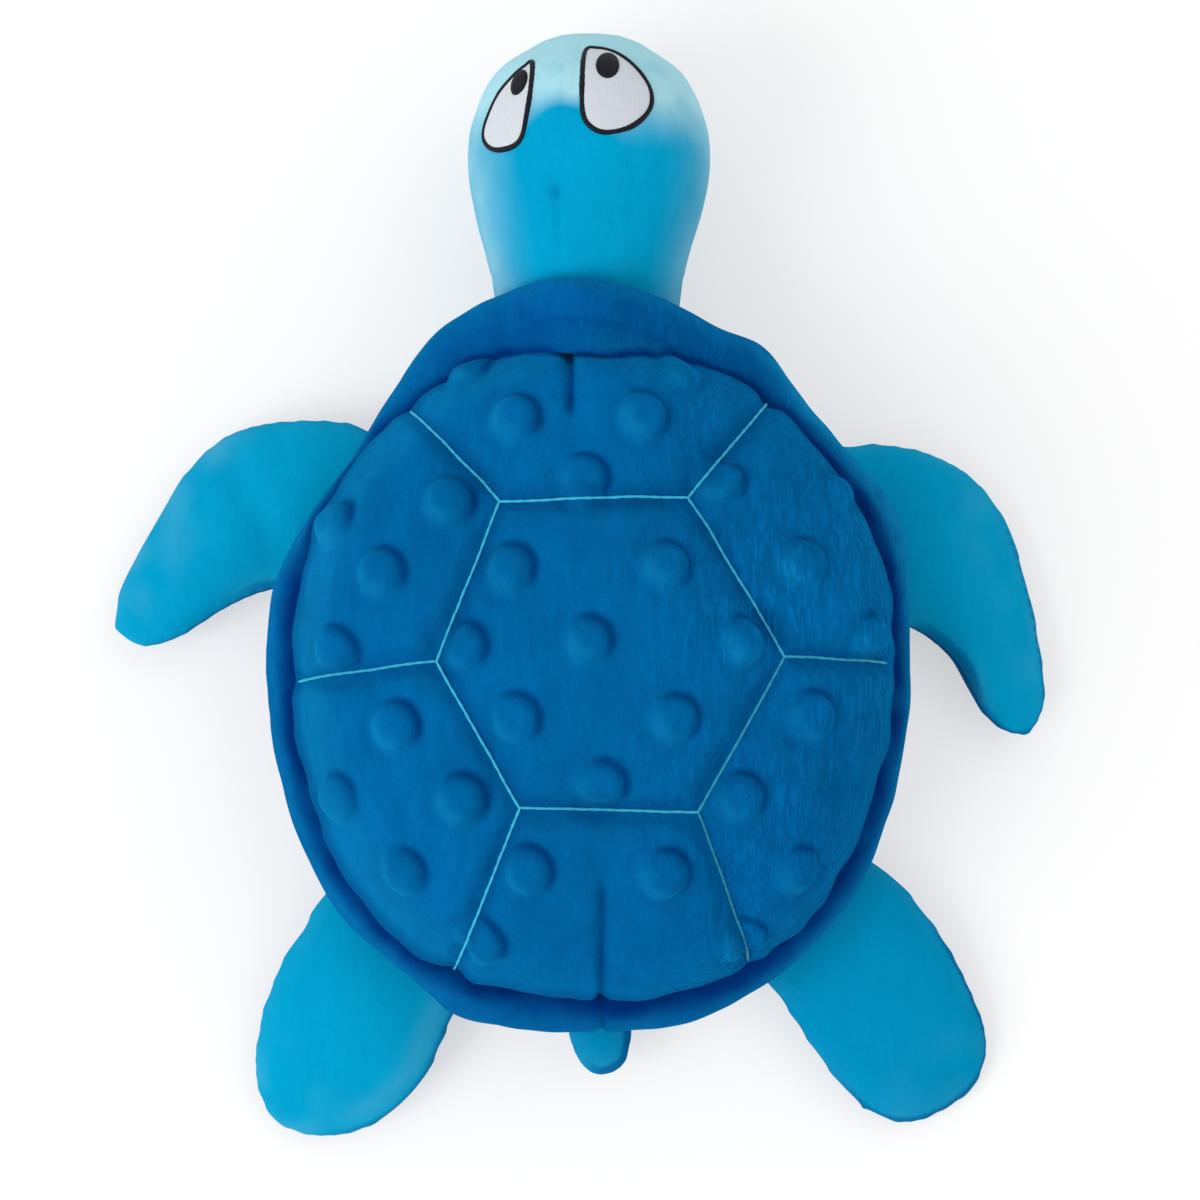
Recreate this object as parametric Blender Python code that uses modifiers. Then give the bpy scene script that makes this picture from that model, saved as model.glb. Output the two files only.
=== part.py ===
"""Plush turtle: a stuffed shell, a turning head, four flippers and a tail, as separate sewn pieces."""
import bpy
import bmesh
from math import atan2, copysign, cos, exp, hypot, pi, radians, sin, sqrt
from mathutils import Matrix, Vector

MM = 0.001

# Fabric, seams and clearances
FABRIC = 1.2 * MM
SEAM_GAP = 0.6 * MM
FIT_GAP = 0.4 * MM
FILLING_GAP = 0.7 * MM
OVERRUN = 4.0 * MM

# Shell outline, seen from above
SHELL_HALF_WIDTH = 75.0 * MM
SHELL_FRONT = 86.6 * MM
SHELL_REAR = 87.3 * MM
FRONT_ROUNDING_SHARE = 0.65
REAR_ROUNDING_SHARE = 0.41

# Rolled rim round the shell, with its collar over the neck
RIM_ROLL = 8.0 * MM
RIM_HEIGHT = 32.0 * MM
COLLAR_RISE = 22.0 * MM
COLLAR_HALF_WIDTH = 24.0 * MM
RIM_OPEN_ANGLE = radians(35)

# Dome of the shell, with its stitched hexagon
DOME_HALF_WIDTH = 68.9 * MM
DOME_FRONT = 70.6 * MM
DOME_REAR = 78.7 * MM
DOME_FRONT_ROUNDING_SHARE = 0.5
DOME_REAR_ROUNDING_SHARE = 0.37
DOME_TOP = 74.0 * MM
HEXAGON_SIDE = 41.0 * MM
HEXAGON_SQUASH_SHARE = 0.9
THREAD_RADIUS = 0.6 * MM
CHANNEL_RADIUS = 1.6 * MM
THREAD_DEPTH = 0.15 * MM
SPOKE_TURNS = (radians(92), radians(154), radians(-157), radians(-92), radians(-37), radians(37))
SPOKE_START_SHARE = 0.995
SPOKE_END_SHARE = 0.93
SPOKE_SLIM_SHARE = 0.92
DOME_FABRIC = 2.8 * MM

# Belly
BELLY_FABRIC = 1.5 * MM

# Neck and head, measured from the neck's pivot
NECK_PIVOT_Y = 87.5 * MM
NECK_PIVOT_Z = 28.0 * MM
NECK_RADIUS = 22.4 * MM
NECK_FLARE = 4.8 * MM
HEAD_REACH = 57.0 * MM
HEAD_HALF_WIDTH = 28.2 * MM
HEAD_HALF_HEIGHT = 25.4 * MM
NECK_OPENING_DEPTH = 18.0 * MM
HEAD_TILT = radians(10)
HEAD_ROLL = radians(-13)
SEAM_HALF_GAP = 0.35 * MM

# Embroidered eyes
EYE_REAR = 31.0 * MM
EYE_LENGTH = 20.5 * MM
EYE_INNER_ANGLE = radians(14)
EYE_SPREAD_ANGLE = radians(42)
EYE_THREAD = 0.5 * MM
PUPIL_RADIUS = 2.9 * MM

# Flippers and tail
HINGE_HEIGHT = 14.0 * MM
HINGE_INSET = 11.0 * MM
ROOT_RADIUS = 4.5 * MM
GROOVE_END_GAP = 0.9 * MM
FRONT_FLIPPER_LEFT_LENGTH = 39.6 * MM
FRONT_FLIPPER_RIGHT_LENGTH = 37.0 * MM
REAR_FLIPPER_LEFT_LENGTH = 55.4 * MM
REAR_FLIPPER_RIGHT_LENGTH = 61.0 * MM
TAIL_LENGTH = 20.0 * MM
FRONT_FLIPPER_LEFT_ROOT = 42.0 * MM
FRONT_FLIPPER_RIGHT_ROOT = 46.0 * MM
REAR_FLIPPER_LEFT_ROOT = 41.0 * MM
REAR_FLIPPER_RIGHT_ROOT = 36.0 * MM
TAIL_ROOT = 13.2 * MM
FLIPPER_HALF_THICKNESS = 6.4 * MM
TAIL_HALF_THICKNESS = 4.2 * MM
FLIPPER_DROOP = radians(10)

# Counts
RING_STEPS = 36
HEAD_STEPS = 20
PADDLE_STEPS = 20
EYE_STEPS = 18

# Head outline from the tip back to the neck: distance along, half width
HEAD_SHARES = ((1.0, 0.0), (0.985, 0.28), (0.93, 0.50), (0.85, 0.72), (0.765, 0.85), (0.675, 0.93),
               (0.59, 0.98), (0.50, 1.0), (0.40, 0.99), (0.29, 0.95), (0.19, 0.90), (0.10, 0.85),
               (0.0, 0.80))

# Paddle outlines: along the root chord in root widths, outward in lengths, clockwise from above
FRONT_LEFT_SHARES = ((0.45, -0.07), (0.50, 0.14), (0.43, 0.36), (0.30, 0.60), (0.13, 0.82), (-0.12, 0.94),
                     (-0.45, 0.97), (-0.80, 1.0), (-1.04, 0.97), (-1.16, 0.88), (-1.16, 0.72), (-1.02, 0.56),
                     (-0.80, 0.43), (-0.58, 0.27), (-0.48, 0.10), (-0.43, -0.07), (-0.20, -0.11),
                     (0.04, -0.11), (0.27, -0.11))
FRONT_RIGHT_SHARES = ((-0.45, -0.07), (-0.49, 0.16), (-0.43, 0.42), (-0.30, 0.67), (-0.12, 0.87), (0.12, 0.98),
                      (0.50, 0.97), (0.88, 0.89), (1.10, 0.81), (1.21, 0.68), (1.19, 0.52), (1.02, 0.39),
                      (0.80, 0.33), (0.60, 0.23), (0.49, 0.10), (0.43, -0.07), (0.22, -0.11),
                      (0.0, -0.11), (-0.24, -0.11))
REAR_LEFT_SHARES = ((0.45, -0.05), (0.50, 0.12), (0.43, 0.34), (0.37, 0.53), (0.27, 0.70), (0.10, 0.88),
                    (-0.10, 0.98), (-0.29, 0.98), (-0.47, 0.89), (-0.60, 0.75), (-0.66, 0.58), (-0.64, 0.40),
                    (-0.56, 0.23), (-0.50, 0.08), (-0.43, -0.05), (-0.22, -0.08), (0.0, -0.08), (0.24, -0.08))
REAR_RIGHT_SHARES = ((-0.45, -0.05), (-0.50, 0.10), (-0.50, 0.24), (-0.43, 0.43), (-0.33, 0.61), (-0.19, 0.78),
                     (-0.02, 0.93), (0.20, 0.99), (0.44, 0.97), (0.66, 0.90), (0.79, 0.78), (0.79, 0.62),
                     (0.71, 0.45), (0.61, 0.28), (0.53, 0.12), (0.45, -0.05), (0.22, -0.07), (-0.02, -0.07),
                     (-0.25, -0.07))
TAIL_SHARES = ((0.40, -0.17), (0.50, 0.12), (0.48, 0.55), (0.36, 0.80), (0.17, 0.95), (0.0, 1.0),
               (-0.22, 0.96), (-0.42, 0.84), (-0.50, 0.55), (-0.50, 0.12), (-0.40, -0.17),
               (0.0, -0.22))

# Eye outline in plan: across from the inner edge, along from the rear
EYE_SHARES = ((0.06, 0.98), (0.24, 1.0), (0.49, 0.98), (0.69, 0.89), (0.89, 0.72), (1.0, 0.52), (1.0, 0.34),
              (0.89, 0.16), (0.66, 0.05), (0.34, 0.0), (0.13, 0.06), (0.0, 0.24), (0.0, 0.60))
EYE_CENTRE_SHARES = (0.47, 0.50)
PUPIL_PLACE_SHARES = (0.36, 0.79)

# Turn of each limb's root round the shell, from the head
FRONT_LEFT_TURN = radians(-64.75)
FRONT_RIGHT_TURN = radians(70.25)
REAR_LEFT_TURN = radians(-143.75)
REAR_RIGHT_TURN = radians(135.75)
TAIL_TURN = radians(179.25)

COLOURS = {
    "cyan_velour": ((0.0, 0.40, 0.60), 0.85),
    "belly_velour": ((0.0, 0.36, 0.56), 0.85),
    "dotted_plush": ((0.004, 0.13, 0.38), 0.9),
    "rim_plush": ((0.004, 0.10, 0.32), 0.9),
    "light_thread": ((0.05, 0.47, 0.70), 0.6),
    "white_thread": ((0.80, 0.82, 0.84), 0.6),
    "black_thread": ((0.01, 0.01, 0.012), 0.5),
    "filling": ((0.86, 0.86, 0.84), 0.95),
}


def material(name):
    """Return the named fabric's material, making it on first use."""
    if name in bpy.data.materials:
        return bpy.data.materials[name]
    colour, roughness = COLOURS[name]
    made = bpy.data.materials.new(name)
    made.use_nodes = True
    shader = made.node_tree.nodes["Principled BSDF"]
    shader.inputs["Base Color"].default_value = (*colour, 1.0)
    shader.inputs["Roughness"].default_value = roughness
    shader.inputs["Metallic"].default_value = 0.0
    return made


def smooth_curve(points, share):
    """Read a closed smooth curve through the points at a share of its way round."""
    count = len(points)
    place = share * count
    first = int(place) % count
    part = place - int(place)
    before, start, end, after = (Vector(points[(first + step) % count]) for step in (-1, 0, 1, 2))
    return 0.5 * (2 * start + (end - before) * part + (2 * before - 5 * start + 4 * end - after) * part ** 2
                  + (3 * start - before - 3 * end + after) * part ** 3)


def smooth_table(rows, place):
    """Read the second column of a table at a place in its first column, without corners."""
    rows = sorted(rows)
    if place <= rows[0][0]:
        return rows[0][1]
    if place >= rows[-1][0]:
        return rows[-1][1]
    index = max(i for i, row in enumerate(rows[:-1]) if row[0] <= place)
    low, high = rows[index], rows[index + 1]
    before = rows[max(index - 1, 0)]
    after = rows[min(index + 2, len(rows) - 1)]
    span = high[0] - low[0]
    part = (place - low[0]) / span
    slope_low = (high[1] - before[1]) / (high[0] - before[0]) * span
    slope_high = (after[1] - low[1]) / (after[0] - low[0]) * span
    return ((2 * part ** 3 - 3 * part ** 2 + 1) * low[1] + (part ** 3 - 2 * part ** 2 + part) * slope_low
            + (3 * part ** 2 - 2 * part ** 3) * high[1] + (part ** 3 - part ** 2) * slope_high)


def egg(turn, half_width, front, rear, front_power, rear_power):
    """Point of an egg outline at a turn from the head, positive towards +X."""
    ahead = cos(turn) >= 0
    power = front_power if ahead else rear_power
    length = front if ahead else rear
    return Vector((half_width * copysign(abs(sin(turn)) ** (2 * power), sin(turn)), length * cos(turn)))


def shell_outline(turn):
    """Outer edge of the rim in plan."""
    return egg(turn, SHELL_HALF_WIDTH, SHELL_FRONT, SHELL_REAR, FRONT_ROUNDING_SHARE, REAR_ROUNDING_SHARE)


def rim_path(turn):
    """Middle of the rim's roll in plan."""
    return egg(turn, SHELL_HALF_WIDTH - RIM_ROLL, SHELL_FRONT - RIM_ROLL, SHELL_REAR - RIM_ROLL,
               FRONT_ROUNDING_SHARE, REAR_ROUNDING_SHARE)


def dome_outline(turn):
    """Widest edge of the dome in plan."""
    return egg(turn, DOME_HALF_WIDTH, DOME_FRONT, DOME_REAR, DOME_FRONT_ROUNDING_SHARE, DOME_REAR_ROUNDING_SHARE)


def rim_height_at(place):
    """Height of the rim's middle at a place in plan, which rises over the neck."""
    if place.y <= 0:
        return RIM_HEIGHT
    return RIM_HEIGHT + COLLAR_RISE * exp(-(place.x / COLLAR_HALF_WIDTH) ** 2)


def rim_height(turn):
    """Height of the rim's middle at a turn from the head."""
    return rim_height_at(rim_path(turn))


def dome_edge_height(turn):
    """Height at which the dome's edge rests on the roll of the rim."""
    edge = dome_outline(turn)
    inward = rim_path(turn_of(edge, rim_path)).length - edge.length
    rest = RIM_ROLL + 2 * FIT_GAP
    return rim_height_at(edge) + sqrt(max(rest ** 2 - inward ** 2, 0))


def dome_height(turn, share):
    """Height of the dome at a share of the way out to its edge."""
    edge = dome_edge_height(turn)
    return edge + (DOME_TOP - edge) * (1 - min(abs(share), 1) ** 2.3) ** 0.55


def under_dome(turn, share):
    """Height that keeps the filling's gap below the dome's fabric at a share of the way out."""
    step = 0.01
    fall = dome_height(turn, share - step) - dome_height(turn, share + step)
    slope = fall / (2 * step * dome_outline(turn).length)
    return dome_height(turn, share) - (DOME_FABRIC + FILLING_GAP) * sqrt(1 + slope ** 2)


def turn_of(point, outline):
    """Turn at which the outline crosses the way from the middle to a point."""
    low, high = 0.0, pi
    side = abs(point.x)
    for _ in range(40):
        middle = (low + high) / 2
        edge = outline(middle)
        if atan2(edge.x, edge.y) < atan2(side, point.y):
            low = middle
        else:
            high = middle
    return copysign((low + high) / 2, point.x)


def dome_point(point, lift):
    """Lift a point in plan to a height above the dome."""
    turn = turn_of(point, dome_outline)
    share = point.length / dome_outline(turn).length
    return Vector((point.x, point.y, dome_height(turn, share) + lift))


def new_object(name, mesh_builder, material_name, collection):
    """Make an object from a filled bmesh."""
    mesh = bpy.data.meshes.new(name)
    mesh_builder.to_mesh(mesh)
    mesh_builder.free()
    made = bpy.data.objects.new(name, mesh)
    mesh.materials.append(material(material_name))
    mesh.shade_smooth()
    mesh.set_sharp_from_angle(angle=radians(40))
    collection.objects.link(made)
    return made


def give_thickness(target, thickness):
    """Turn an open skin into a sheet, thickened inward."""
    shell = target.modifiers.new("fabric", "SOLIDIFY")
    shell.thickness = thickness
    shell.offset = -1
    shell.use_even_offset = False


def cut(target, cutter, name):
    """Cut a hidden cutter out of a piece."""
    boolean = target.modifiers.new(name, "BOOLEAN")
    boolean.operation = "DIFFERENCE"
    boolean.solver = "EXACT"
    boolean.object = cutter


def ball(steps, rings):
    """Unit sphere whose poles lie on Z."""
    made = bmesh.new()
    bmesh.ops.create_uvsphere(made, u_segments=steps, v_segments=rings, radius=1)
    return made


def around(vertex):
    """Turn of a unit sphere's vertex round Z, measured from +Y towards +X."""
    return atan2(vertex.co.x, vertex.co.y)


def ring_share(vertex):
    """Distance of a unit sphere's vertex from Z."""
    return min(hypot(vertex.co.x, vertex.co.y), 1.0)


def keep_half(made, axis, sign):
    """Leave the half of a unit sphere on one side, with its edge at zero."""
    tiny = 0.0001
    gone = [v for v in made.verts if v.co[axis] * sign < -tiny]
    bmesh.ops.delete(made, geom=gone, context="VERTS")


def face_out(made):
    """Turn a closed mesh's faces outward."""
    bmesh.ops.recalc_face_normals(made, faces=made.faces)
    if made.calc_volume(signed=True) < 0:
        bmesh.ops.reverse_faces(made, faces=made.faces)


def face_along(made, axis, sign):
    """Turn an open skin so that its farthest face along an axis looks that way."""
    bmesh.ops.recalc_face_normals(made, faces=made.faces)
    made.normal_update()
    farthest = max(made.faces, key=lambda face: face.calc_center_median()[axis] * sign)
    if farthest.normal[axis] * sign < 0:
        bmesh.ops.reverse_faces(made, faces=made.faces)


def bounding_edges(made):
    """Edges of an open skin's border."""
    return [edge for edge in made.edges if edge.is_boundary]


def make_shell_cover(parts):
    """Dotted dome, resting on the rim's roll."""
    made = ball(RING_STEPS, 18)
    keep_half(made, 2, 1)
    for vertex in made.verts:
        turn = around(vertex)
        share = ring_share(vertex)
        plan = dome_outline(turn) * share
        vertex.co = (plan.x, plan.y, dome_height(turn, share))
    cover = new_object("shell_cover", made, "dotted_plush", parts)
    give_thickness(cover, DOME_FABRIC)
    return cover


def stitch_corners():
    """Corners of the stitched hexagon in plan, clockwise from +X."""
    turns = [radians(90 + 60 * k) for k in range(6)]
    return [Vector((sin(turn), cos(turn) * HEXAGON_SQUASH_SHARE)) * HEXAGON_SIDE for turn in turns]


def stitch_spokes(trim):
    """Plan routes from each corner of the hexagon to the dome's edge, trimmed at the far end."""
    routes = []
    for corner, turn in zip(stitch_corners(), SPOKE_TURNS):
        start = corner * SPOKE_START_SHARE
        end = dome_outline(turn) * SPOKE_END_SHARE
        routes.append((start, end - (end - start).normalized() * trim))
    return routes


def stitch_tube(name, route, radius, depth, closed, material_name, collection):
    """Tube along a stitched route, laid on the dome, as a closed mesh."""
    curve = bpy.data.curves.new(name, "CURVE")
    curve.dimensions = "3D"
    curve.bevel_depth = radius
    curve.bevel_resolution = 1
    curve.use_fill_caps = not closed
    spline = curve.splines.new("POLY")
    spline.use_cyclic_u = closed
    spline.points.add(len(route) - 1)
    for point, place in zip(spline.points, route):
        point.co = (*dome_point(place, -depth), 1)
    laid = bpy.data.objects.new(name, curve)
    collection.objects.link(laid)
    bpy.context.view_layer.update()
    mesh = bpy.data.meshes.new_from_object(laid.evaluated_get(bpy.context.evaluated_depsgraph_get()))
    bpy.data.objects.remove(laid)
    welded = bmesh.new()
    welded.from_mesh(mesh)
    bmesh.ops.remove_doubles(welded, verts=welded.verts, dist=MM / 100)
    face_out(welded)
    return new_object(name, welded, material_name, collection)


def stitch_pieces(name, radius, depth, trim, material_name, collection, spoke_collection):
    """The stitched hexagon and its six spokes."""
    corners = stitch_corners()
    steps = 4
    ring = [corners[k].lerp(corners[(k + 1) % 6], step / steps) for k in range(6) for step in range(steps)]
    pieces = [stitch_tube(name, ring, radius, depth, True, material_name, collection)]
    for index, (start, end) in enumerate(stitch_spokes(trim)):
        route = [start.lerp(end, step / steps) for step in range(steps + 1)]
        spoke = stitch_tube(f"{name}_spoke_{index}", route, radius * SPOKE_SLIM_SHARE, depth, False,
                            material_name, spoke_collection)
        hide(spoke)
        pieces.append(spoke)
    return pieces


def make_stitching(parts, cutters):
    """Thread of the stitched lines, joined to one body."""
    thread, *spokes = stitch_pieces("shell_stitching", THREAD_RADIUS, THREAD_DEPTH, CHANNEL_RADIUS,
                                    "light_thread", parts, cutters)
    for spoke in spokes:
        union = thread.modifiers.new(spoke.name, "BOOLEAN")
        union.operation = "UNION"
        union.solver = "EXACT"
        union.object = spoke


def hide(cutter):
    """Show a cutter as wire only."""
    cutter.hide_render = True
    cutter.display_type = "WIRE"


def filling_level(level, turn):
    """Plan point and height of the body filling at one of its levels."""
    path = rim_path(turn)
    edge = dome_outline(turn)
    floor = BELLY_FABRIC + FIT_GAP
    lower_shares = (0.0, 0.30, 0.58, 0.845, 0.90, 0.862)
    seam = rim_height(turn) - RIM_ROLL
    rise_shares = (0.35, 0.60)
    heights = (floor, floor, floor, *(seam * share for share in rise_shares), rim_height(turn))
    if level < len(lower_shares):
        return path * lower_shares[level], heights[level]
    upper_shares = (0.89, 0.86, 0.70, 0.50, 0.28, 0.0)
    index = level - len(lower_shares)
    share = upper_shares[index]
    plan = edge * share
    if index == 0:
        return plan, dome_edge_height(turn) + DOME_FABRIC
    return plan, under_dome(turn, share)


def make_body_filling(parts):
    """Stuffing of the shell, from the belly up to the dome."""
    levels = 12
    made = ball(RING_STEPS, levels - 1)
    for vertex in made.verts:
        level = round((1 - atan2(vertex.co.z, ring_share(vertex)) / (pi / 2)) / 2 * (levels - 1))
        plan, height = filling_level(levels - 1 - level, around(vertex))
        vertex.co = (plan.x, plan.y, height)
    face_out(made)
    return new_object("body_filling", made, "filling", parts)


def make_belly_panel(parts):
    """Flat underside that curves up to the seam below the rim."""
    made = ball(RING_STEPS, 14)
    keep_half(made, 2, -1)
    plan_shares = (0.0, 0.35, 0.66, 0.79, 0.885, 0.94, 0.97, 0.985)
    rise_shares = (0.0, 0.0, 0.0, 0.09, 0.29, 0.53, 0.78, 1.0)
    last = len(plan_shares) - 1
    for vertex in made.verts:
        ring = round((1 - atan2(-vertex.co.z, ring_share(vertex)) / (pi / 2)) * last)
        turn = around(vertex)
        seam = rim_height(turn) - RIM_ROLL - 2 * FIT_GAP
        plan = rim_path(turn) * plan_shares[ring]
        vertex.co = (plan.x, plan.y, seam * rise_shares[ring])
    belly = new_object("belly_panel", made, "belly_velour", parts)
    give_thickness(belly, BELLY_FABRIC)
    return belly


def rim_ring(steps_round, radius, arc):
    """Roll along the rim's path, full round or open towards the inside."""
    made = bmesh.new()
    bmesh.ops.create_grid(made, x_segments=RING_STEPS, y_segments=steps_round, size=1)
    for vertex in made.verts:
        turn = vertex.co.x * pi
        angle = -vertex.co.y * arc / 2
        path = rim_path(turn)
        step = 0.01
        along = (rim_path(turn + step) - rim_path(turn - step)).normalized()
        outward = Vector((-along.y, along.x))
        if outward.dot(path) < 0:
            outward = -outward
        vertex.co = (path.x + outward.x * radius * cos(angle), path.y + outward.y * radius * cos(angle),
                     rim_height(turn) + radius * sin(angle))
    bmesh.ops.remove_doubles(made, verts=made.verts, dist=MM / 100)
    face_out(made)
    return made


def make_rim(parts):
    """Rolled rim: a cover that is open inside, and its stuffing."""
    cover_skin = rim_ring(7, RIM_ROLL, 2 * pi - 2 * RIM_OPEN_ANGLE)
    face_along(cover_skin, 0, 1)
    cover = new_object("rim_cover", cover_skin, "rim_plush", parts)
    give_thickness(cover, FABRIC)
    filling = new_object("rim_filling", rim_ring(6, RIM_ROLL - FABRIC - FILLING_GAP, 2 * pi), "filling", parts)
    return cover, filling


def make_neck_socket(cutters):
    """Turned space that the neck moves in, flared where it leaves the collar."""
    radius = NECK_RADIUS + FIT_GAP
    profile = []
    steps = 8
    flare_angle = radians(22)
    for index in range(steps + 1):
        angle = pi / 2 - (pi / 2 - flare_angle) * index / steps
        profile.append((radius * cos(angle), -radius * sin(angle)))
    mouth = OVERRUN + RIM_ROLL
    profile.append((radius + NECK_FLARE, -NECK_FLARE / 2))
    profile.append((radius + NECK_FLARE + mouth, mouth + NECK_FLARE))
    profile.append((0, mouth + NECK_FLARE))
    mesh = bmesh.new()
    points = [mesh.verts.new((across, 0, along)) for across, along in reversed(profile)]
    edges = [mesh.edges.new(pair) for pair in zip(points[:-1], points[1:])]
    bmesh.ops.spin(mesh, geom=points + edges, cent=(0, 0, 0), axis=(0, 0, 1), angle=2 * pi, steps=HEAD_STEPS)
    bmesh.ops.remove_doubles(mesh, verts=mesh.verts, dist=MM / 100)
    face_out(mesh)
    socket = new_object("neck_socket", mesh, "filling", cutters)
    socket.rotation_euler = (radians(-90), 0, 0)
    socket.location = (0, NECK_PIVOT_Y, NECK_PIVOT_Z)
    hide(socket)
    return socket


def head_radii(along):
    """Half width and half height of the head at a distance ahead of the neck's pivot."""
    blend_start = HEAD_SHARES[-1][0] * HEAD_REACH
    if along <= blend_start:
        round_part = sqrt(max(NECK_RADIUS ** 2 - min(along, 0) ** 2, 0))
        return round_part, round_part
    width = smooth_table(HEAD_SHARES, along / HEAD_REACH) * HEAD_HALF_WIDTH
    neck_share = NECK_RADIUS / HEAD_HALF_WIDTH
    flat = min(1, (along - blend_start) / (0.35 * HEAD_REACH))
    width = max(width, neck_share * HEAD_HALF_WIDTH) if along < 0.1 * HEAD_REACH else width
    height = width * (1 - flat * (1 - HEAD_HALF_HEIGHT / HEAD_HALF_WIDTH))
    return width, height


def head_stations():
    """Distances of the head's rings ahead of the pivot, from the tip to the rear opening."""
    shares = (1.0, 0.985, 0.94, 0.86, 0.76, 0.65, 0.54, 0.42, 0.30, 0.19, 0.10, 0.03)
    front = [share * HEAD_REACH for share in shares]
    rear_shares = (0.25, 0.55, 0.8, 1.0)
    return front + [-NECK_OPENING_DEPTH * share for share in rear_shares]


def head_surface(along, angle, lift):
    """Point on the head at an angle from its top, raised by a lift."""
    width, height = head_radii(along)
    return Vector(((width + lift) * sin(angle), along, (height + lift) * cos(angle)))


def place_on_neck(target):
    """Put a head piece on the neck's pivot, tilted and rolled."""
    target.matrix_world = (Matrix.Translation((0, NECK_PIVOT_Y, NECK_PIVOT_Z))
                           @ Matrix.Rotation(HEAD_TILT, 4, "X") @ Matrix.Rotation(HEAD_ROLL, 4, "Y"))


def make_head_panel(side, parts):
    """One half of the head's velour, sewn down the middle."""
    stations = head_stations()
    made = ball(HEAD_STEPS, len(stations))
    lowest = min(vertex.co.z for vertex in made.verts)
    bmesh.ops.delete(made, geom=[v for v in made.verts if v.co.z < lowest + MM], context="VERTS")
    sign = 1 if side == "right" else -1
    keep_half(made, 0, sign)
    for vertex in made.verts:
        ring = round((1 - atan2(vertex.co.z, ring_share(vertex)) / (pi / 2)) / 2 * len(stations))
        point = head_surface(stations[ring], around(vertex), 0)
        vertex.co = (sign * max(abs(point.x), SEAM_HALF_GAP), point.y, point.z)
    face_along(made, 0, sign)
    panel = new_object(f"head_{side}_panel", made, "cyan_velour", parts)
    give_thickness(panel, FABRIC)
    place_on_neck(panel)


def make_head_filling(parts, cutters):
    """Stuffing of the head, hollowed for the neck's ball."""
    inset = FABRIC + 2 * FILLING_GAP
    stations = [place for place in head_stations() if place >= 0]
    stations.append(-NECK_OPENING_DEPTH / 4)
    made = ball(HEAD_STEPS, len(stations) - 1)
    for vertex in made.verts:
        ring = round((1 - atan2(vertex.co.z, ring_share(vertex)) / (pi / 2)) / 2 * (len(stations) - 1))
        place = stations[ring]
        point = head_surface(place, around(vertex), -inset)
        inside = ring_share(vertex) < 0.01
        along = place * (1 - 2 * inset / HEAD_REACH)
        vertex.co = (0, along, 0) if inside else (point.x, along, point.z)
    face_out(made)
    filling = new_object("head_filling", made, "filling", parts)
    hollow = new_object("neck_ball_space", ball(HEAD_STEPS, 12), "filling", cutters)
    hollow.data.transform(Matrix.Scale(NECK_RADIUS - FABRIC - FIT_GAP + FIT_GAP / 2, 4))
    place_on_neck(hollow)
    hide(hollow)
    cut(filling, hollow, "ball_space")
    place_on_neck(filling)


def make_neck_filling(parts):
    """Ball of stuffing that the head nods on."""
    ball_mesh = ball(HEAD_STEPS, 12)
    filling = new_object("neck_filling", ball_mesh, "filling", parts)
    filling.data.transform(Matrix.Scale(NECK_RADIUS - FABRIC - 2 * FIT_GAP, 4))
    filling.location = (0, NECK_PIVOT_Y, NECK_PIVOT_Z)


def eye_place(share_across, share_along, sign):
    """Distance along the head and angle from its top for a place on the eye."""
    return EYE_REAR + EYE_LENGTH * share_along, sign * (EYE_INNER_ANGLE + EYE_SPREAD_ANGLE * share_across)


def eye_patch(name, sign, inner, outer, lift, material_name, parts):
    """Embroidered patch between two sizes of the eye's outline, laid on the head."""
    made = ball(EYE_STEPS, 6)
    keep_half(made, 2, 1)
    if inner > 0:
        near = [v for v in made.verts if ring_share(v) < 0.8]
        bmesh.ops.delete(made, geom=near, context="VERTS")
    centre = Vector(EYE_CENTRE_SHARES)
    for vertex in made.verts:
        edge = smooth_curve(EYE_SHARES, (around(vertex) / (2 * pi)) % 1)
        share = ring_share(vertex)
        size = inner + (outer - inner) * (1 if share > 0.99 else 0) if inner > 0 else outer * share
        across, along = centre + (edge - centre) * size
        vertex.co = head_surface(*eye_place(across, along, sign), lift)
    return finish_patch(name, made, material_name, parts)


def pupil_patch(name, sign, lift, parts):
    """Round pupil at the front inner corner of the eye."""
    made = ball(12, 4)
    keep_half(made, 2, 1)
    for vertex in made.verts:
        along, angle = eye_place(*PUPIL_PLACE_SHARES, sign)
        width = head_radii(along)[0]
        share = ring_share(vertex)
        angle += PUPIL_RADIUS / width * share * sin(around(vertex))
        vertex.co = head_surface(along + PUPIL_RADIUS * share * cos(around(vertex)) * 0.9, angle, lift)
    return finish_patch(name, made, "black_thread", parts)


def finish_patch(name, made, material_name, parts):
    """Thicken a patch outward and put it on the head."""
    face_along(made, 2, 1)
    patch = new_object(name, made, material_name, parts)
    give_thickness(patch, EYE_THREAD)
    patch.modifiers["fabric"].offset = 1
    place_on_neck(patch)


def make_eyes(parts):
    """White, black border and pupil of each eye."""
    lift = FIT_GAP
    for side, sign in (("left", -1), ("right", 1)):
        eye_patch(f"{side}_eye_white", sign, 0, 0.90, lift, "white_thread", parts)
        eye_patch(f"{side}_eye_border", sign, 0.94, 1.06, lift, "black_thread", parts)
        pupil_patch(f"{side}_eye_pupil", sign, lift + EYE_THREAD + FIT_GAP, parts)


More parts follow.
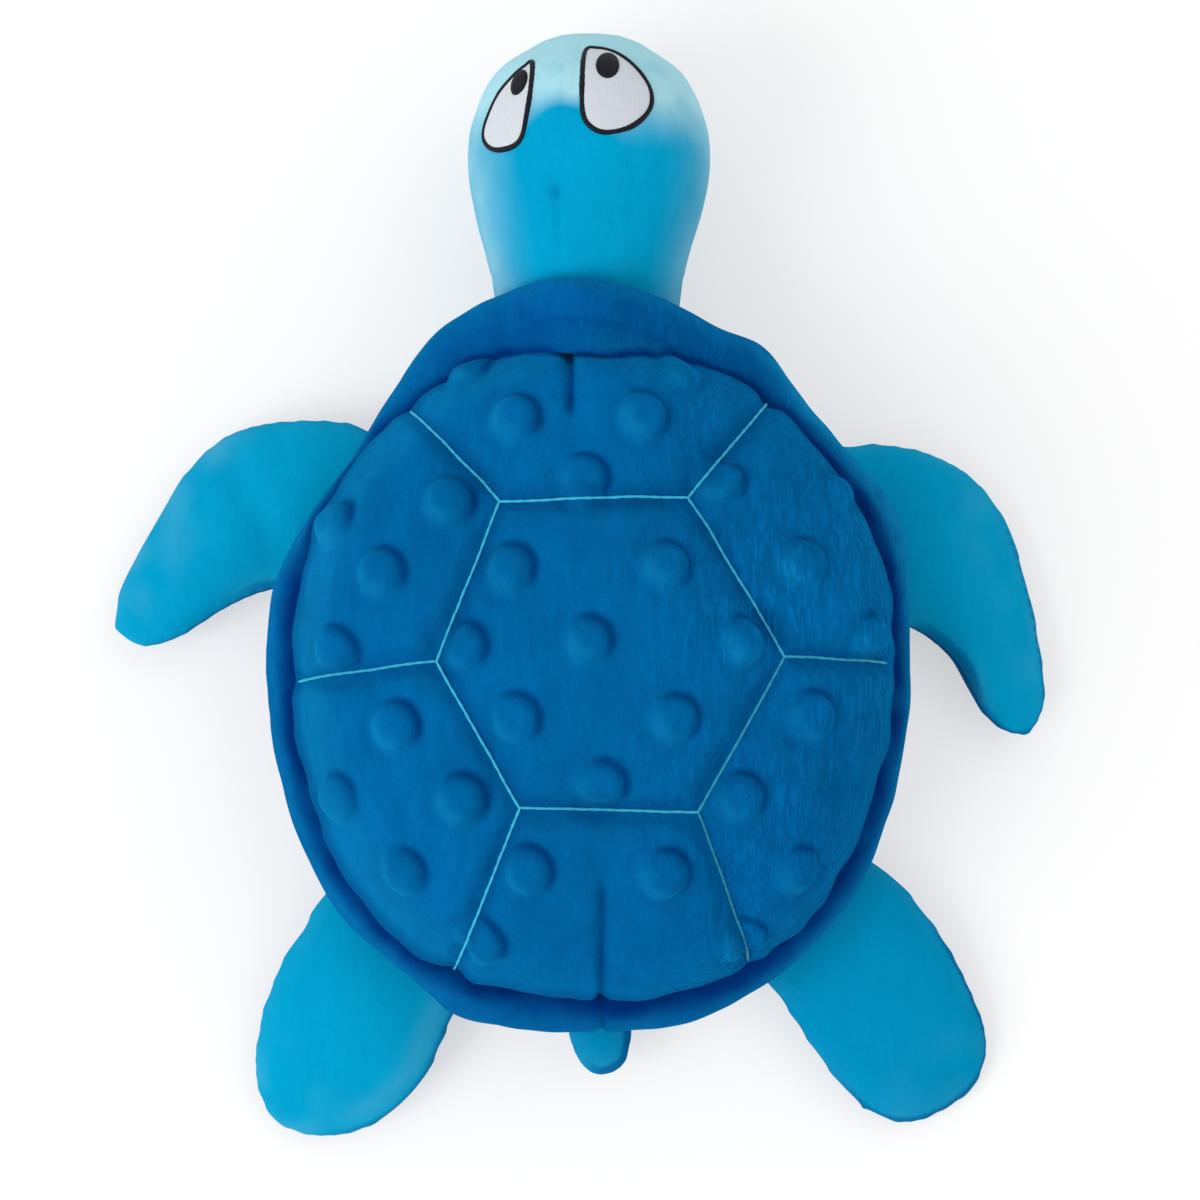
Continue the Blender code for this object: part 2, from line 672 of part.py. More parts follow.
def paddle_map(vertex, outline, centre, half_thickness, root_taper_length, inset, thinned):
    """Plan place and half thickness of a paddle at a unit sphere's vertex."""
    share = ring_share(vertex)
    turn = (around(vertex) / (2 * pi)) % 1
    step = 0.004
    edge = outline(turn)
    along = outline(turn + step) - outline(turn - step)
    inward = Vector((along.y, -along.x)).normalized()
    if inward.dot(centre - edge) < 0:
        inward = -inward
    plan = centre + (edge + inward * inset - centre) * share
    taper = min(max(plan.y / root_taper_length, 0), 1)
    depth = half_thickness * (0.62 + 0.38 * taper * taper * (3 - 2 * taper)) - thinned
    return plan, depth * (1 - share ** 2.2) ** 0.5


def make_paddle(name, turn, shares, root, length, half_thickness, droop, parts, cutters):
    """Flipper or tail: two panels sewn round the edge, with stuffing, on a root hinge."""
    heading = hinge_heading(turn)
    centre_share = sum((Vector(point) for point in shares), Vector((0, 0))) / len(shares)
    centre = Vector((centre_share.x * root, centre_share.y * length))
    clockwise = shares if shares[0][0] > 0 else tuple(reversed(shares))

    def outline(share):
        place = smooth_curve(clockwise, share)
        return Vector((place.x * root, place.y * length))

    taper_length = 0.62 * length
    hinge = hinge_point(turn)
    world = (Matrix.Translation((hinge.x, hinge.y, HINGE_HEIGHT)) @ Matrix.Rotation(-heading, 4, "Z")
             @ Matrix.Rotation(-droop, 4, "X"))
    for layer, sign in (("top_panel", 1), ("bottom_panel", -1)):
        made = ball(PADDLE_STEPS, 8)
        keep_half(made, 2, sign)
        for vertex in made.verts:
            plan, depth = paddle_map(vertex, outline, centre, half_thickness, taper_length, 0, 0)
            vertex.co = (plan.x, plan.y, sign * (depth + SEAM_GAP))
        extruded = bmesh.ops.extrude_edge_only(made, edges=bounding_edges(made))["geom"]
        for vertex in (item for item in extruded if isinstance(item, bmesh.types.BMVert)):
            vertex.co.z = sign * SEAM_HALF_GAP
        face_along(made, 2, sign)
        panel = new_object(f"{name}_{layer}", made, "cyan_velour", parts)
        give_thickness(panel, FABRIC)
        panel.matrix_world = world
    made = ball(PADDLE_STEPS, 8)
    for vertex in made.verts:
        sign = 1 if vertex.co.z >= 0 else -1
        plan, depth = paddle_map(vertex, outline, centre, half_thickness, taper_length,
                                 FABRIC + 2 * FILLING_GAP, FABRIC)
        vertex.co = (plan.x, plan.y, sign * depth)
    face_out(made)
    filling = new_object(f"{name}_filling", made, "filling", parts)
    filling.matrix_world = world
    return make_root_groove(name, world, root, cutters)


def hinge_heading(turn):
    """Heading of the rim's outward side at a turn, from +Y towards +X."""
    step = 0.001
    along = shell_outline(turn + step) - shell_outline(turn - step)
    return atan2(-along.y, along.x)


def hinge_point(turn):
    """Middle of a root hinge in plan, set in from the rim's edge."""
    heading = hinge_heading(turn)
    return shell_outline(turn) - Vector((sin(heading), cos(heading))) * HINGE_INSET


def make_root_groove(name, world, root, cutters):
    """Round space that a limb's root turns in."""
    made = bmesh.new()
    radius = ROOT_RADIUS + FIT_GAP
    bmesh.ops.create_cone(made, cap_ends=True, segments=16, radius1=radius, radius2=radius,
                          depth=root + 2 * GROOVE_END_GAP)
    bmesh.ops.rotate(made, verts=made.verts, matrix=Matrix.Rotation(radians(90), 3, "Y"))
    groove = new_object(f"{name}_groove", made, "filling", cutters)
    groove.matrix_world = world
    hide(groove)
    return groove


def make_limbs(parts, cutters):
    """Four flippers and the tail; returns the grooves of their roots."""
    limbs = (
        ("front_flipper_left", FRONT_LEFT_TURN, FRONT_LEFT_SHARES, FRONT_FLIPPER_LEFT_ROOT,
         FRONT_FLIPPER_LEFT_LENGTH, FLIPPER_HALF_THICKNESS),
        ("front_flipper_right", FRONT_RIGHT_TURN, FRONT_RIGHT_SHARES, FRONT_FLIPPER_RIGHT_ROOT,
         FRONT_FLIPPER_RIGHT_LENGTH, FLIPPER_HALF_THICKNESS),
        ("rear_flipper_left", REAR_LEFT_TURN, REAR_LEFT_SHARES, REAR_FLIPPER_LEFT_ROOT,
         REAR_FLIPPER_LEFT_LENGTH, FLIPPER_HALF_THICKNESS),
        ("rear_flipper_right", REAR_RIGHT_TURN, REAR_RIGHT_SHARES, REAR_FLIPPER_RIGHT_ROOT,
         REAR_FLIPPER_RIGHT_LENGTH, FLIPPER_HALF_THICKNESS),
        ("tail", TAIL_TURN, TAIL_SHARES, TAIL_ROOT, TAIL_LENGTH, TAIL_HALF_THICKNESS),
    )
    return [make_paddle(*limb, FLIPPER_DROOP, parts, cutters) for limb in limbs]


def main():
    for old in list(bpy.data.objects):
        bpy.data.objects.remove(old)
    parts = bpy.data.collections.new("plush_turtle")
    cutters = bpy.data.collections.new("cutters")
    bpy.context.scene.collection.children.link(parts)
    bpy.context.scene.collection.children.link(cutters)
    cover = make_shell_cover(parts)
    for channel in stitch_pieces("stitch_channel", CHANNEL_RADIUS, 0, 0, "filling", cutters, cutters):
        hide(channel)
        cut(cover, channel, channel.name)
    make_stitching(parts, cutters)
    socket = make_neck_socket(cutters)
    rim, rim_filling = make_rim(parts)
    body = make_body_filling(parts)
    belly = make_belly_panel(parts)
    grooves = make_limbs(parts, cutters)
    for piece in (rim, rim_filling, body, belly):
        cut(piece, socket, "neck_socket")
    for piece in (body, belly):
        for groove in grooves:
            cut(piece, groove, groove.name)
    for side in ("left", "right"):
        make_head_panel(side, parts)
    make_head_filling(parts, cutters)
    make_neck_filling(parts)
    make_eyes(parts)
    bpy.context.view_layer.update()


main()
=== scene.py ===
"""A sewn plush turtle, seen from above on a pale floor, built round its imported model."""

from math import atan2, copysign, cos, exp, pi, radians, sin, sqrt

import bmesh
import bpy
from mathutils import Matrix, Vector, noise
from mathutils.bvhtree import BVHTree


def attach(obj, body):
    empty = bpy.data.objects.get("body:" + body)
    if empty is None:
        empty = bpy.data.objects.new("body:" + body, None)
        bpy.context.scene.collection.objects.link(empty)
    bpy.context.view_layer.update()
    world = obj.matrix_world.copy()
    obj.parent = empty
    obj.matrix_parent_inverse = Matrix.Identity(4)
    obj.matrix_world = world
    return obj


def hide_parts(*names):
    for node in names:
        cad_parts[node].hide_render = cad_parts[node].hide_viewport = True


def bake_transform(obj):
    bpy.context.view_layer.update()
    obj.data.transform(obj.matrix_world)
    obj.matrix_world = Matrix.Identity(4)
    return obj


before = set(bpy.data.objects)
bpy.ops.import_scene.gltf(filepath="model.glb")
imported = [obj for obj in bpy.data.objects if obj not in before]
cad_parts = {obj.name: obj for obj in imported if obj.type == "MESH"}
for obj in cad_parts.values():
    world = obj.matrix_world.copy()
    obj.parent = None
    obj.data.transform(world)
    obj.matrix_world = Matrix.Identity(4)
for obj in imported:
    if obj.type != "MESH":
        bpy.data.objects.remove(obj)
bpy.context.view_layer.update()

bl_info = {
    "name": "Plush turtle",
    "version": (1, 0, 0),
    "blender": (4, 5, 0),
    "location": "3D View > Sidebar > Turtle",
    "description": "Dresses the packed plush turtle in stuffed fabric, thread and light",
    "category": "Object",
}

MM = 0.001

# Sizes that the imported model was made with, in metres.
SHELL_HALF_WIDTH = 75 * MM
SHELL_FRONT = 86.6 * MM
SHELL_REAR = 87.3 * MM
SHELL_FRONT_ROUNDING = 0.65
SHELL_REAR_ROUNDING = 0.41
RIM_ROLL = 8 * MM
RIM_HEIGHT = 32 * MM
COLLAR_RISE = 22 * MM
COLLAR_HALF_WIDTH = 24 * MM
DOME_HALF_WIDTH = 68.9 * MM
DOME_FRONT = 70.6 * MM
DOME_REAR = 78.7 * MM
DOME_FRONT_ROUNDING = 0.5
DOME_REAR_ROUNDING = 0.37
DOME_TOP = 74 * MM
FIT_GAP = 0.4 * MM
NECK_PIVOT = Vector((0, 87.5 * MM, 28 * MM))
NECK_RADIUS = 22.4 * MM
HEAD_REACH = 57 * MM
HEAD_HALF_WIDTH = 28.2 * MM
HEAD_HALF_HEIGHT = 25.4 * MM
HEAD_TILT = radians(10)
HEAD_ROLL = radians(-13)
HINGE_HEIGHT = 14 * MM
FLIPPER_DROOP = radians(10)

# How wide the head is at each share of its reach, from the neck to the nose.
HEAD_SHARES = (
    (1.0, 0.0), (0.985, 0.28), (0.93, 0.50), (0.85, 0.72), (0.765, 0.85), (0.675, 0.93), (0.59, 0.98),
    (0.50, 1.0), (0.40, 0.99), (0.29, 0.95), (0.19, 0.90), (0.10, 0.85), (0.0, 0.80),
)
# Outlines as shares of the root width across and of the length outward.
FRONT_LEFT_SHARES = (
    (0.45, -0.07), (0.50, 0.14), (0.43, 0.36), (0.30, 0.60), (0.13, 0.82), (-0.12, 0.94), (-0.45, 0.97),
    (-0.80, 1.0), (-1.04, 0.97), (-1.16, 0.88), (-1.16, 0.72), (-1.02, 0.56), (-0.80, 0.43), (-0.58, 0.27),
    (-0.48, 0.10), (-0.43, -0.07), (-0.20, -0.11), (0.04, -0.11), (0.27, -0.11),
)
FRONT_RIGHT_SHARES = (
    (-0.45, -0.07), (-0.49, 0.16), (-0.43, 0.42), (-0.30, 0.67), (-0.12, 0.87), (0.12, 0.98), (0.50, 0.97),
    (0.88, 0.89), (1.10, 0.81), (1.21, 0.68), (1.19, 0.52), (1.01, 0.41), (0.77, 0.40), (0.56, 0.28),
    (0.44, 0.14), (0.40, -0.06), (0.22, -0.11), (0.0, -0.11), (-0.24, -0.11),
)
REAR_LEFT_SHARES = (
    (0.45, -0.05), (0.50, 0.12), (0.43, 0.34), (0.37, 0.53), (0.27, 0.70), (0.10, 0.88), (-0.10, 0.98),
    (-0.29, 0.98), (-0.47, 0.89), (-0.60, 0.75), (-0.66, 0.58), (-0.64, 0.40), (-0.56, 0.23), (-0.50, 0.08),
    (-0.43, -0.05), (-0.22, -0.08), (0.0, -0.08), (0.24, -0.08),
)
REAR_RIGHT_SHARES = (
    (-0.45, -0.05), (-0.50, 0.10), (-0.50, 0.24), (-0.43, 0.43), (-0.33, 0.61), (-0.19, 0.78), (-0.02, 0.93),
    (0.20, 0.99), (0.44, 0.97), (0.66, 0.90), (0.79, 0.78), (0.79, 0.62), (0.71, 0.45), (0.61, 0.28),
    (0.53, 0.12), (0.45, -0.05), (0.22, -0.07), (-0.02, -0.07), (-0.25, -0.07),
)
TAIL_SHARES = (
    (0.40, -0.17), (0.50, 0.12), (0.48, 0.55), (0.36, 0.80), (0.17, 0.95), (0.0, 1.0), (-0.22, 0.96),
    (-0.42, 0.84), (-0.50, 0.55), (-0.50, 0.12), (-0.40, -0.17), (0.0, -0.22),
)
# Name, hinge, heading, root width, length, half thickness, painted shade over the whole limb, outline.
LIMBS = (
    ("front_flipper_left", (-56.04, 31.90), -62.74, 42, 39.6, 6.4, 0.05, FRONT_LEFT_SHARES),
    ("front_flipper_right", (59.09, 25.21), 68.35, 46, 37, 6.4, 0.06, FRONT_RIGHT_SHARES),
    ("rear_flipper_left", (-41.18, -62.42), -136.56, 41, 55.4, 6.4, 0.02, REAR_LEFT_SHARES),
    ("rear_flipper_right", (47.13, -55.81), 127.65, 36, 61, 6.4, 0.27, REAR_RIGHT_SHARES),
    ("tail", (2.05, -76.29), 179.51, 13.2, 20, 4.2, 0.34, TAIL_SHARES),
)
# Places on the head in millimetres, as the camera sees them from above: the eyes' outlines, their middles,
# and for each pupil its middle, half width, half length and lean.
RIGHT_EYE = (
    (-1.1, 139.6), (1.8, 140.3), (5.6, 139.4), (9.1, 137.2), (12.2, 133.9), (14.0, 130.4), (14.0, 127.0),
    (12.0, 124.1), (8.5, 121.9), (3.5, 121.0), (0.2, 122.3), (-1.6, 125.4), (-1.8, 132.4),
)
LEFT_EYE = (
    (-13.4, 137.0), (-15.0, 136.2), (-17.6, 134.0), (-21.1, 129.8), (-23.7, 124.2), (-24.6, 120.4),
    (-23.8, 118.0), (-21.5, 116.9), (-17.9, 117.7), (-15.8, 120.0), (-14.7, 125.0), (-13.7, 131.4),
)
EYE_CENTRES = {"left": (-18.6, 125.4), "right": (5.0, 130.6)}
PUPILS = {"left": ((-16.2, 132.3), 1.6, 3.1, -24), "right": ((4.0, 136.2), 2.7, 2.9, 0)}

# The rim's outer edge in millimetres, as the camera sees it from above, clockwise from the front.
RIM_EDGE = (
    (0.0, 86.8), (10.3, 84.1), (20.2, 80.1), (29.6, 75.3), (39.5, 71.2), (46.5, 63.2),
    (52.7, 54.6), (59.6, 46.5), (67.1, 39.0), (72.3, 29.9), (73.9, 19.4), (74.3, 8.8),
    (74.3, -1.9), (73.9, -12.5), (72.5, -23.1), (70.2, -33.5), (66.8, -43.6), (62.4, -53.2),
    (56.4, -62.0), (49.1, -69.7), (40.5, -76.0), (31.4, -81.4), (21.4, -85.1), (10.9, -86.7),
    (0.3, -87.2), (-10.4, -86.9), (-20.9, -85.8), (-31.2, -83.0), (-39.4, -76.3), (-47.6, -69.5),
    (-55.6, -62.4), (-61.9, -53.8), (-66.4, -44.2), (-70.1, -34.2), (-72.7, -23.9), (-74.1, -13.3),
    (-75.0, -2.7), (-74.4, 7.9), (-72.7, 18.4), (-67.5, 27.7), (-61.8, 36.5), (-55.3, 44.9),
    (-49.8, 54.0), (-44.2, 63.1), (-38.2, 71.8), (-29.9, 78.3), (-20.4, 83.1), (-10.6, 86.9),
)
# Places on the shell in millimetres, as the camera sees them from above.
HEXAGON = ((-20.8, 35.9), (23.1, 37.0), (45.6, 0.0), (25.5, -36.3), (-16.2, -35.4), (-35.4, -1.2))
# One spoke from each corner of the hexagon.
SPOKE_ENDS = ((-41.2, 56.7), (41.7, 59.0), (69.0, -1.6), (37.0, -70.6), (-31.3, -72.9), (-67.1, -5.8))
# Start, end and depth of each dart.
DARTS = (((-4.6, 72.0), (-4.4, 54.0), 1.0), ((2.3, -80.0), (3.2, -49.8), 0.65))
# How far the thread stands out of the pile, for the hexagon's sides and then the spokes.
THREAD_LIFTS = (0.22, 0.18, 0.10, 0.20, 0.22, 0.22, 0.22, 0.20, 0.14, 0.06, 0.22, 0.18)
# How far each of the same threads is darkened.
THREAD_DARKENING = (0.0, 0.2, 0.55, 0.2, 0.0, 0.1, 0.1, 0.1, 0.4, 0.8, 0.0, 0.25)
DOTS = (
    (-17.6, 55.1), (12.3, 55.8), (-33.3, 36.1), (-1.6, 41.0), (30.8, 41.4), (-48.8, 19.0), (-18.8, 20.1),
    (17.4, 20.6), (49.8, 21.3), (-59.7, 30.3), (-0.5, 3.2), (36.3, 3.2), (-30.3, 2.1), (-60.2, 0.9),
    (65.7, 3.9), (-45.8, -16.9), (-17.6, -15.0), (19.2, -15.0), (52.1, -14.6), (2.5, -30.6),
    (-30.3, -34.0), (-59.0, -33.6), (35.2, -33.6), (-14.8, -50.7), (17.4, -51.4), (-43.5, -50.7),
    (-25.7, -67.6), (47.9, -50.2), (-28.0, 67.1), (21.5, 66.7), (57.9, 37.3), (36.0, -67.5),
)
# Rings of the belly as shares of the rim's outline, and how high each lies between the floor and the rim.
BELLY_PROFILE = (
    (0.2, 0.0), (0.35, 0.0), (0.5, 0.0), (0.66, 0.0), (0.73, 0.03), (0.79, 0.09), (0.845, 0.19),
    (0.885, 0.29), (0.915, 0.41), (0.94, 0.53), (0.958, 0.66), (0.97, 0.78), (0.985, 1.0), (0.90, 1.05),
    (0.6, 1.05), (0.3, 1.05),
)
# Rings of the eyes' patches: share of the outline, and height over the head in millimetres.
WHITE_PROFILE = (
    (1.0, -0.4), (1.0, 0.1), (0.97, 0.22), (0.9, 0.3), (0.75, 0.34), (0.55, 0.36), (0.35, 0.36), (0.15, 0.36),
)
PUPIL_PROFILE = ((1.0, -0.2), (1.0, 0.4), (0.94, 0.6), (0.8, 0.72), (0.5, 0.8), (0.25, 0.8))
# The fold across the left front flipper in millimetres, from above.
ARM_FOLD = ((-82.2, 42.8), (-72, 25))

# What the camera looks at.
VIEW_MIDDLE = Vector((2.3 * MM, 12.7 * MM, 25 * MM))
# Where the collar is fullest, from the middle to the right.
COLLAR_MIDDLE = 4 * MM
# Up to here along the head the skin is at least as wide as the neck's ball.
NECK_END = 5.7 * MM
# How far the head's skin lies to the left of the pivot.
HEAD_SHIFT = Vector((0.9 * MM, 0, 0))
# How far the tip of the head is drawn in.
TIP_DRAW = 0.8 * MM
# Height of the hidden ends of the shell and the belly, inside the body.
INNER_TOP = 24 * MM
# How far the dome starts below its full height, which the stuffing gives back.
SHELL_SWELL = 2.2 * MM
# The ways away from the light on a dot and on a flipper.
FAR_SIDE = Vector((0.78, 0.62, 0))
SHADED_SIDE = Vector((0.83, -0.56, 0))
WHITE = (1.0, 1.0, 1.0, 1.0)
# How the cloth is simulated, many times larger than it is.
CLOTH_SCALE = 10.0
CLOTH_FRAMES = 20
CLOTH = {
    "quality": 6, "mass": 0.3, "tension_stiffness": 20, "compression_stiffness": 12, "shear_stiffness": 8,
    "bending_stiffness": 0.4, "use_pressure": True, "uniform_pressure_force": 5.0,
}


def length_setting(name, description, default, low=0.0):
    return bpy.props.FloatProperty(
        name=name, description=description, default=default, min=low, unit="LENGTH")


def angle_setting(name, description, default):
    return bpy.props.FloatProperty(name=name, description=description, default=default, subtype="ANGLE")


def colour_setting(name, description, default):
    return bpy.props.FloatVectorProperty(
        name=name, description=description, default=default, size=3, subtype="COLOR")


class TurtleStageSettings(bpy.types.PropertyGroup):
    """The camera, the light and the floor."""
    camera_distance: length_setting(
        "Camera distance", "From the camera to the middle of the turtle", 0.75, 0.3)
    camera_lens: bpy.props.FloatProperty(
        name="Lens", description="Focal length of the camera in millimetres",
        default=97.2, min=20, unit="CAMERA")
    lean_left: angle_setting("Lean left", "How far the camera leans to the turtle's left side", radians(4.0))
    lean_back: angle_setting("Lean back", "How far the camera leans to the tail", radians(5.0))
    key_power: bpy.props.FloatProperty(
        name="Key light", description="Power of the large soft light on the left in watts",
        default=34, min=0, unit="POWER")
    sky_strength: bpy.props.FloatProperty(
        name="Sky", description="Strength of the even light from all round", default=0.80, min=0)
    floor_colour: colour_setting("Floor", "Colour of the floor", (0.93, 0.93, 0.93))
    floor_lift: bpy.props.FloatProperty(
        name="Floor lift", description="How far the floor that the camera sees is lifted to white",
        default=0.5, min=0, max=1, subtype="FACTOR")


class TurtleShellSettings(bpy.types.PropertyGroup):
    """The quilted shell, the rim round it and the belly."""
    cloth_step: length_setting("Cloth step", "Spacing of the cloth's points", 3 * MM, MM)
    dot_radius: length_setting("Dot radius", "Radius of a raised dot", 5.9 * MM, MM)
    dot_height: length_setting("Dot height", "How far a dot stands up", 2.6 * MM)
    seam_depth: length_setting("Seam depth", "How deep the quilting pulls the plush in", 1.8 * MM)
    colour: colour_setting("Plush", "Colour of the dotted plush", (0.0006, 0.127, 0.358))
    # Colour of the painted sheen highlight on the dotted plush and the rim, and the tint of their real sheen.
    sheen_colour: colour_setting(
        "Raised pile", "Colour of the plush where its pile is brushed up", (0.010, 0.36, 0.62))
    rim_colour: colour_setting("Rim", "Colour of the rim's plush", (0.0006, 0.105, 0.345))
    belly_colour: colour_setting("Belly", "Colour of the underside", (0.004, 0.33, 0.56))
    thread_colour: colour_setting("Thread", "Colour of the quilting thread", (0.030, 0.46, 0.68))
    stitch_length: length_setting("Stitch", "Length of one stitch", 3.7 * MM, MM)
    stitch_gap: length_setting(
        "Stitch gap", "Gap between two stitches, below 0 where they overlap", -0.75 * MM, -MM)
    thread_thickness: length_setting("Thread thickness", "Width of the thread", 0.72 * MM)


class TurtleSkinSettings(bpy.types.PropertyGroup):
    """The smooth plush of the head, the flippers and the tail, and the embroidered eyes."""
    colour: colour_setting("Velour", "Colour of the smooth plush", (0.0008, 0.335, 0.585))
    # Colour of the painted sheen highlight on the velour, and the tint of its real sheen.
    sheen_colour: colour_setting(
        "Raised pile", "Colour of the velour where its pile is brushed up", (0.36, 0.66, 0.74))
    cloth_step: length_setting("Cloth step", "Spacing of the cloth's points", 2.4 * MM, MM)
    border_width: length_setting("Eye border", "Width of the black satin stitch", 1.25 * MM)
    border_height: length_setting("Eye border height", "How far the satin stitch stands up", 0.55 * MM)
    white_colour: colour_setting("Eye white", "Thread of the eye", (0.59, 0.63, 0.68))
    black_colour: colour_setting("Black", "Thread of the border and the pupil", (0.006, 0.007, 0.012))


class Value:
    """A socket of a shader that takes part in sums, so that a pattern reads as arithmetic."""

    def __init__(self, shader, socket):
        self.shader = shader
        self.socket = socket

    def math(self, operation, *values):
        return self.shader.node("ShaderNodeMath", {"operation": operation}, dict(enumerate((self,) + values)))

    def __add__(self, other):
        return self.math("ADD", other)

    __radd__ = __add__

    def __mul__(self, other):
        return self.math("MULTIPLY", other)

    __rmul__ = __mul__

    def __sub__(self, other):
        return self.math("SUBTRACT", other)

    def __rsub__(self, other):
        return self * -1 + other

    def between(self, low, high):
        """0 below low, 1 above high and a soft step in the middle."""
        return self.shader.node(
            "ShaderNodeMapRange", {"interpolation_type": "SMOOTHSTEP"},
            {"Value": self, "From Min": low, "From Max": high})


class Shader:
    """One material and its nodes."""

    def __init__(self, name):
        self.material = bpy.data.materials.new(name)
        self.material.use_nodes = True
        self.tree = self.material.node_tree
        self.tree.nodes.clear()

    def node(self, kind, settings=None, inputs=None, output=0):
        """Adds a node, sets what is given and returns one of its outputs."""
        made = self.tree.nodes.new(kind)
        for name, setting in (settings or {}).items():
            setattr(made, name, setting)
        for name, given in (inputs or {}).items():
            if isinstance(given, Value):
                self.tree.links.new(given.socket, made.inputs[name])
            else:
                made.inputs[name].default_value = given
        return Value(self, made.outputs[output]) if made.outputs else None

    def place(self):
        return self.node("ShaderNodeTexCoord", output="Object")

    def attribute(self, name):
        return self.node("ShaderNodeAttribute", {"attribute_name": name}, output="Fac")

    def noise(self, place, scale, detail=2.0, roughness=0.5, stretch=None, distortion=0.0):
        if stretch:
            place = self.node("ShaderNodeVectorMath", {"operation": "MULTIPLY"}, {0: place, 1: stretch})
        return self.node(
            "ShaderNodeTexNoise", None,
            {"Vector": place, "Scale": scale, "Detail": detail, "Roughness": roughness,
             "Distortion": distortion})

    def blend(self, low, high, factor):
        """A colour between two, by factor."""
        return self.node(
            "ShaderNodeMix", {"data_type": "RGBA", "clamp_factor": True},
            {"Factor": factor, 6: low, 7: high}, output=2)

    def bump(self, height, distance):
        return self.node("ShaderNodeBump", None, {"Height": height, "Distance": distance, "Strength": 1.0})

    def finish(self, inputs):
        surface = self.node("ShaderNodeBsdfPrincipled", None, inputs)
        self.node("ShaderNodeOutputMaterial", None, {"Surface": surface})
        return self.material


def tone(colour, factor):
    """A colour made lighter or darker, with full cover."""
    return tuple(min(1.0, part * factor) for part in colour) + (1.0,)


def plush_material(name, colour, pale, light, dark, nap, streaks, sheen):
    """Short pile fabric: fine nap and brushed patches, painted shade in creases and joins, and a painted
    sheen that pales it.
    """
    shader = Shader(name)
    place = shader.place()
    patches = shader.noise(place, 38, 3, 0.55)
    brushed = shader.noise(place, 170, 4, 0.65, stretch=(1.0, 0.25, 1.0))
    pile = shader.noise(place, 1500, 3, 0.7)
    coarse = shader.noise(place, 520, 2, 0.6, stretch=(1.0, 0.5, 1.0))
    strokes = shader.noise(place, 760, 2, 0.5, stretch=(1.0, 0.22, 0.6), distortion=0.9)
    brush = shader.attribute("brush") * (strokes.between(0.38, 0.66) - 0.28)
    crease = shader.attribute("crease")
    glow = shader.attribute("glow")
    level = patches * 0.45 + brushed * streaks + coarse * 0.25 + pile * 0.30 + brush * 0.34
    toned = shader.blend(tone(colour, dark), tone(colour, light), level.between(0.34, 0.90 + streaks))
    # Painted sheen highlight: blends toward the pale sheen colour by the painted sheen level, mottled by the
    # noise.
    raised = shader.blend(toned, tuple(pale) + (1.0,), glow * (0.55 + patches * 0.5 + coarse * 0.3))
    # Painted shade: blends toward a darker, bluer copy of the colour by the painted shade level.
    deep = shader.blend(raised, (colour[0] * 0.3, colour[1] * 0.26, colour[2] * 0.46, 1.0), crease)
    height = pile * 0.5 + coarse * 0.4 + brushed * 0.6 + brush * 0.5
    return shader.finish({
        "Base Color": deep,
        "Roughness": 0.95,
        "Specular IOR Level": 0.0,
        "Sheen Weight": sheen,
        "Sheen Roughness": 0.35,
        "Sheen Tint": tuple(pale) + (1.0,),
        "Normal": shader.bump(height, nap),
    })


def thread_material(name, colour, across, roughness, sheen, line_scale, depth):
    """Embroidery thread: fine parallel strands with a soft shine."""
    shader = Shader(name)
    place = shader.place()
    lines = shader.node(
        "ShaderNodeTexWave", {"wave_type": "BANDS", "bands_direction": across},
        {"Vector": place, "Scale": line_scale, "Distortion": 1.2, "Detail": 1.5, "Detail Scale": 2.0})
    grain = shader.noise(place, 900, 2, 0.6)
    level = lines * 0.55 + grain * 0.45
    strands = shader.blend(tone(colour, 0.86), tone(colour, 1.08), level)
    return shader.finish({
        "Base Color": shader.blend(strands, tone(colour, 0.34), shader.attribute("fade")),
        "Roughness": roughness,
        "Specular IOR Level": 0.15,
        "Sheen Weight": sheen,
        "Sheen Roughness": 0.4,
        "Normal": shader.bump(level, depth),
    })


def settings(name):
    """The values of one group, as the panel holds them."""
    return getattr(bpy.context.scene, "turtle_" + name)


def smooth_curve(points, share):
    """A point on the closed smooth curve through points; share 0 to 1 goes round once."""
    count = len(points)
    spot = (share % 1) * count
    first = int(spot)
    t = spot - first
    before, start, end, after = (points[(first + step) % count] for step in (-1, 0, 1, 2))
    return (start * 2 + (end - before) * t + (before * 2 - start * 5 + end * 4 - after) * t * t
            + (start * 3 - before - end * 3 + after) * t * t * t) / 2


def smooth_table(table, place):
    """The value of a table of (place, value) pairs that run down in place, eased between its rows."""
    if place >= table[0][0]:
        return table[0][1]
    for row, (low, low_value) in enumerate(table[1:], 1):
        if place >= low:
            high, high_value = table[row - 1]
            before = table[max(row - 2, 0)]
            after = table[min(row + 1, len(table) - 1)]
            slope_high = ((low_value - before[1]) / (low - before[0]) if row > 1
                          else 3 * (high_value - low_value) / (high - low))
            slope_low = (after[1] - high_value) / (after[0] - high)
            span = high - low
            t = (place - low) / span
            return ((2 * t ** 3 - 3 * t ** 2 + 1) * low_value + (t ** 3 - 2 * t ** 2 + t) * span * slope_low
                    + (3 * t ** 2 - 2 * t ** 3) * high_value + (t ** 3 - t ** 2) * span * slope_high)
    return table[-1][1]


def ease(low, high, place):
    """0 up to low, 1 from high on, and a soft step between them."""
    t = min(1.0, max(0.0, (place - low) / (high - low)))
    return t * t * (3 - 2 * t)


def hill(distance, width):
    """1 at distance 0, falling off softly over width."""
    return exp(-(distance / width) ** 2)


def lumps(point, size, seed=0.0):
    """Even noise of about plus and minus 1 with lumps of a size."""
    return noise.noise(point / size + Vector((seed, seed * 0.7, -seed)))


def circle(steps):
    """The angles of even steps once round."""
    return [2 * pi * step / steps for step in range(steps)]


def signed(turn):
    """A turn of 0 to a full circle as one from minus to plus half a circle."""
    return turn if turn <= pi else turn - 2 * pi


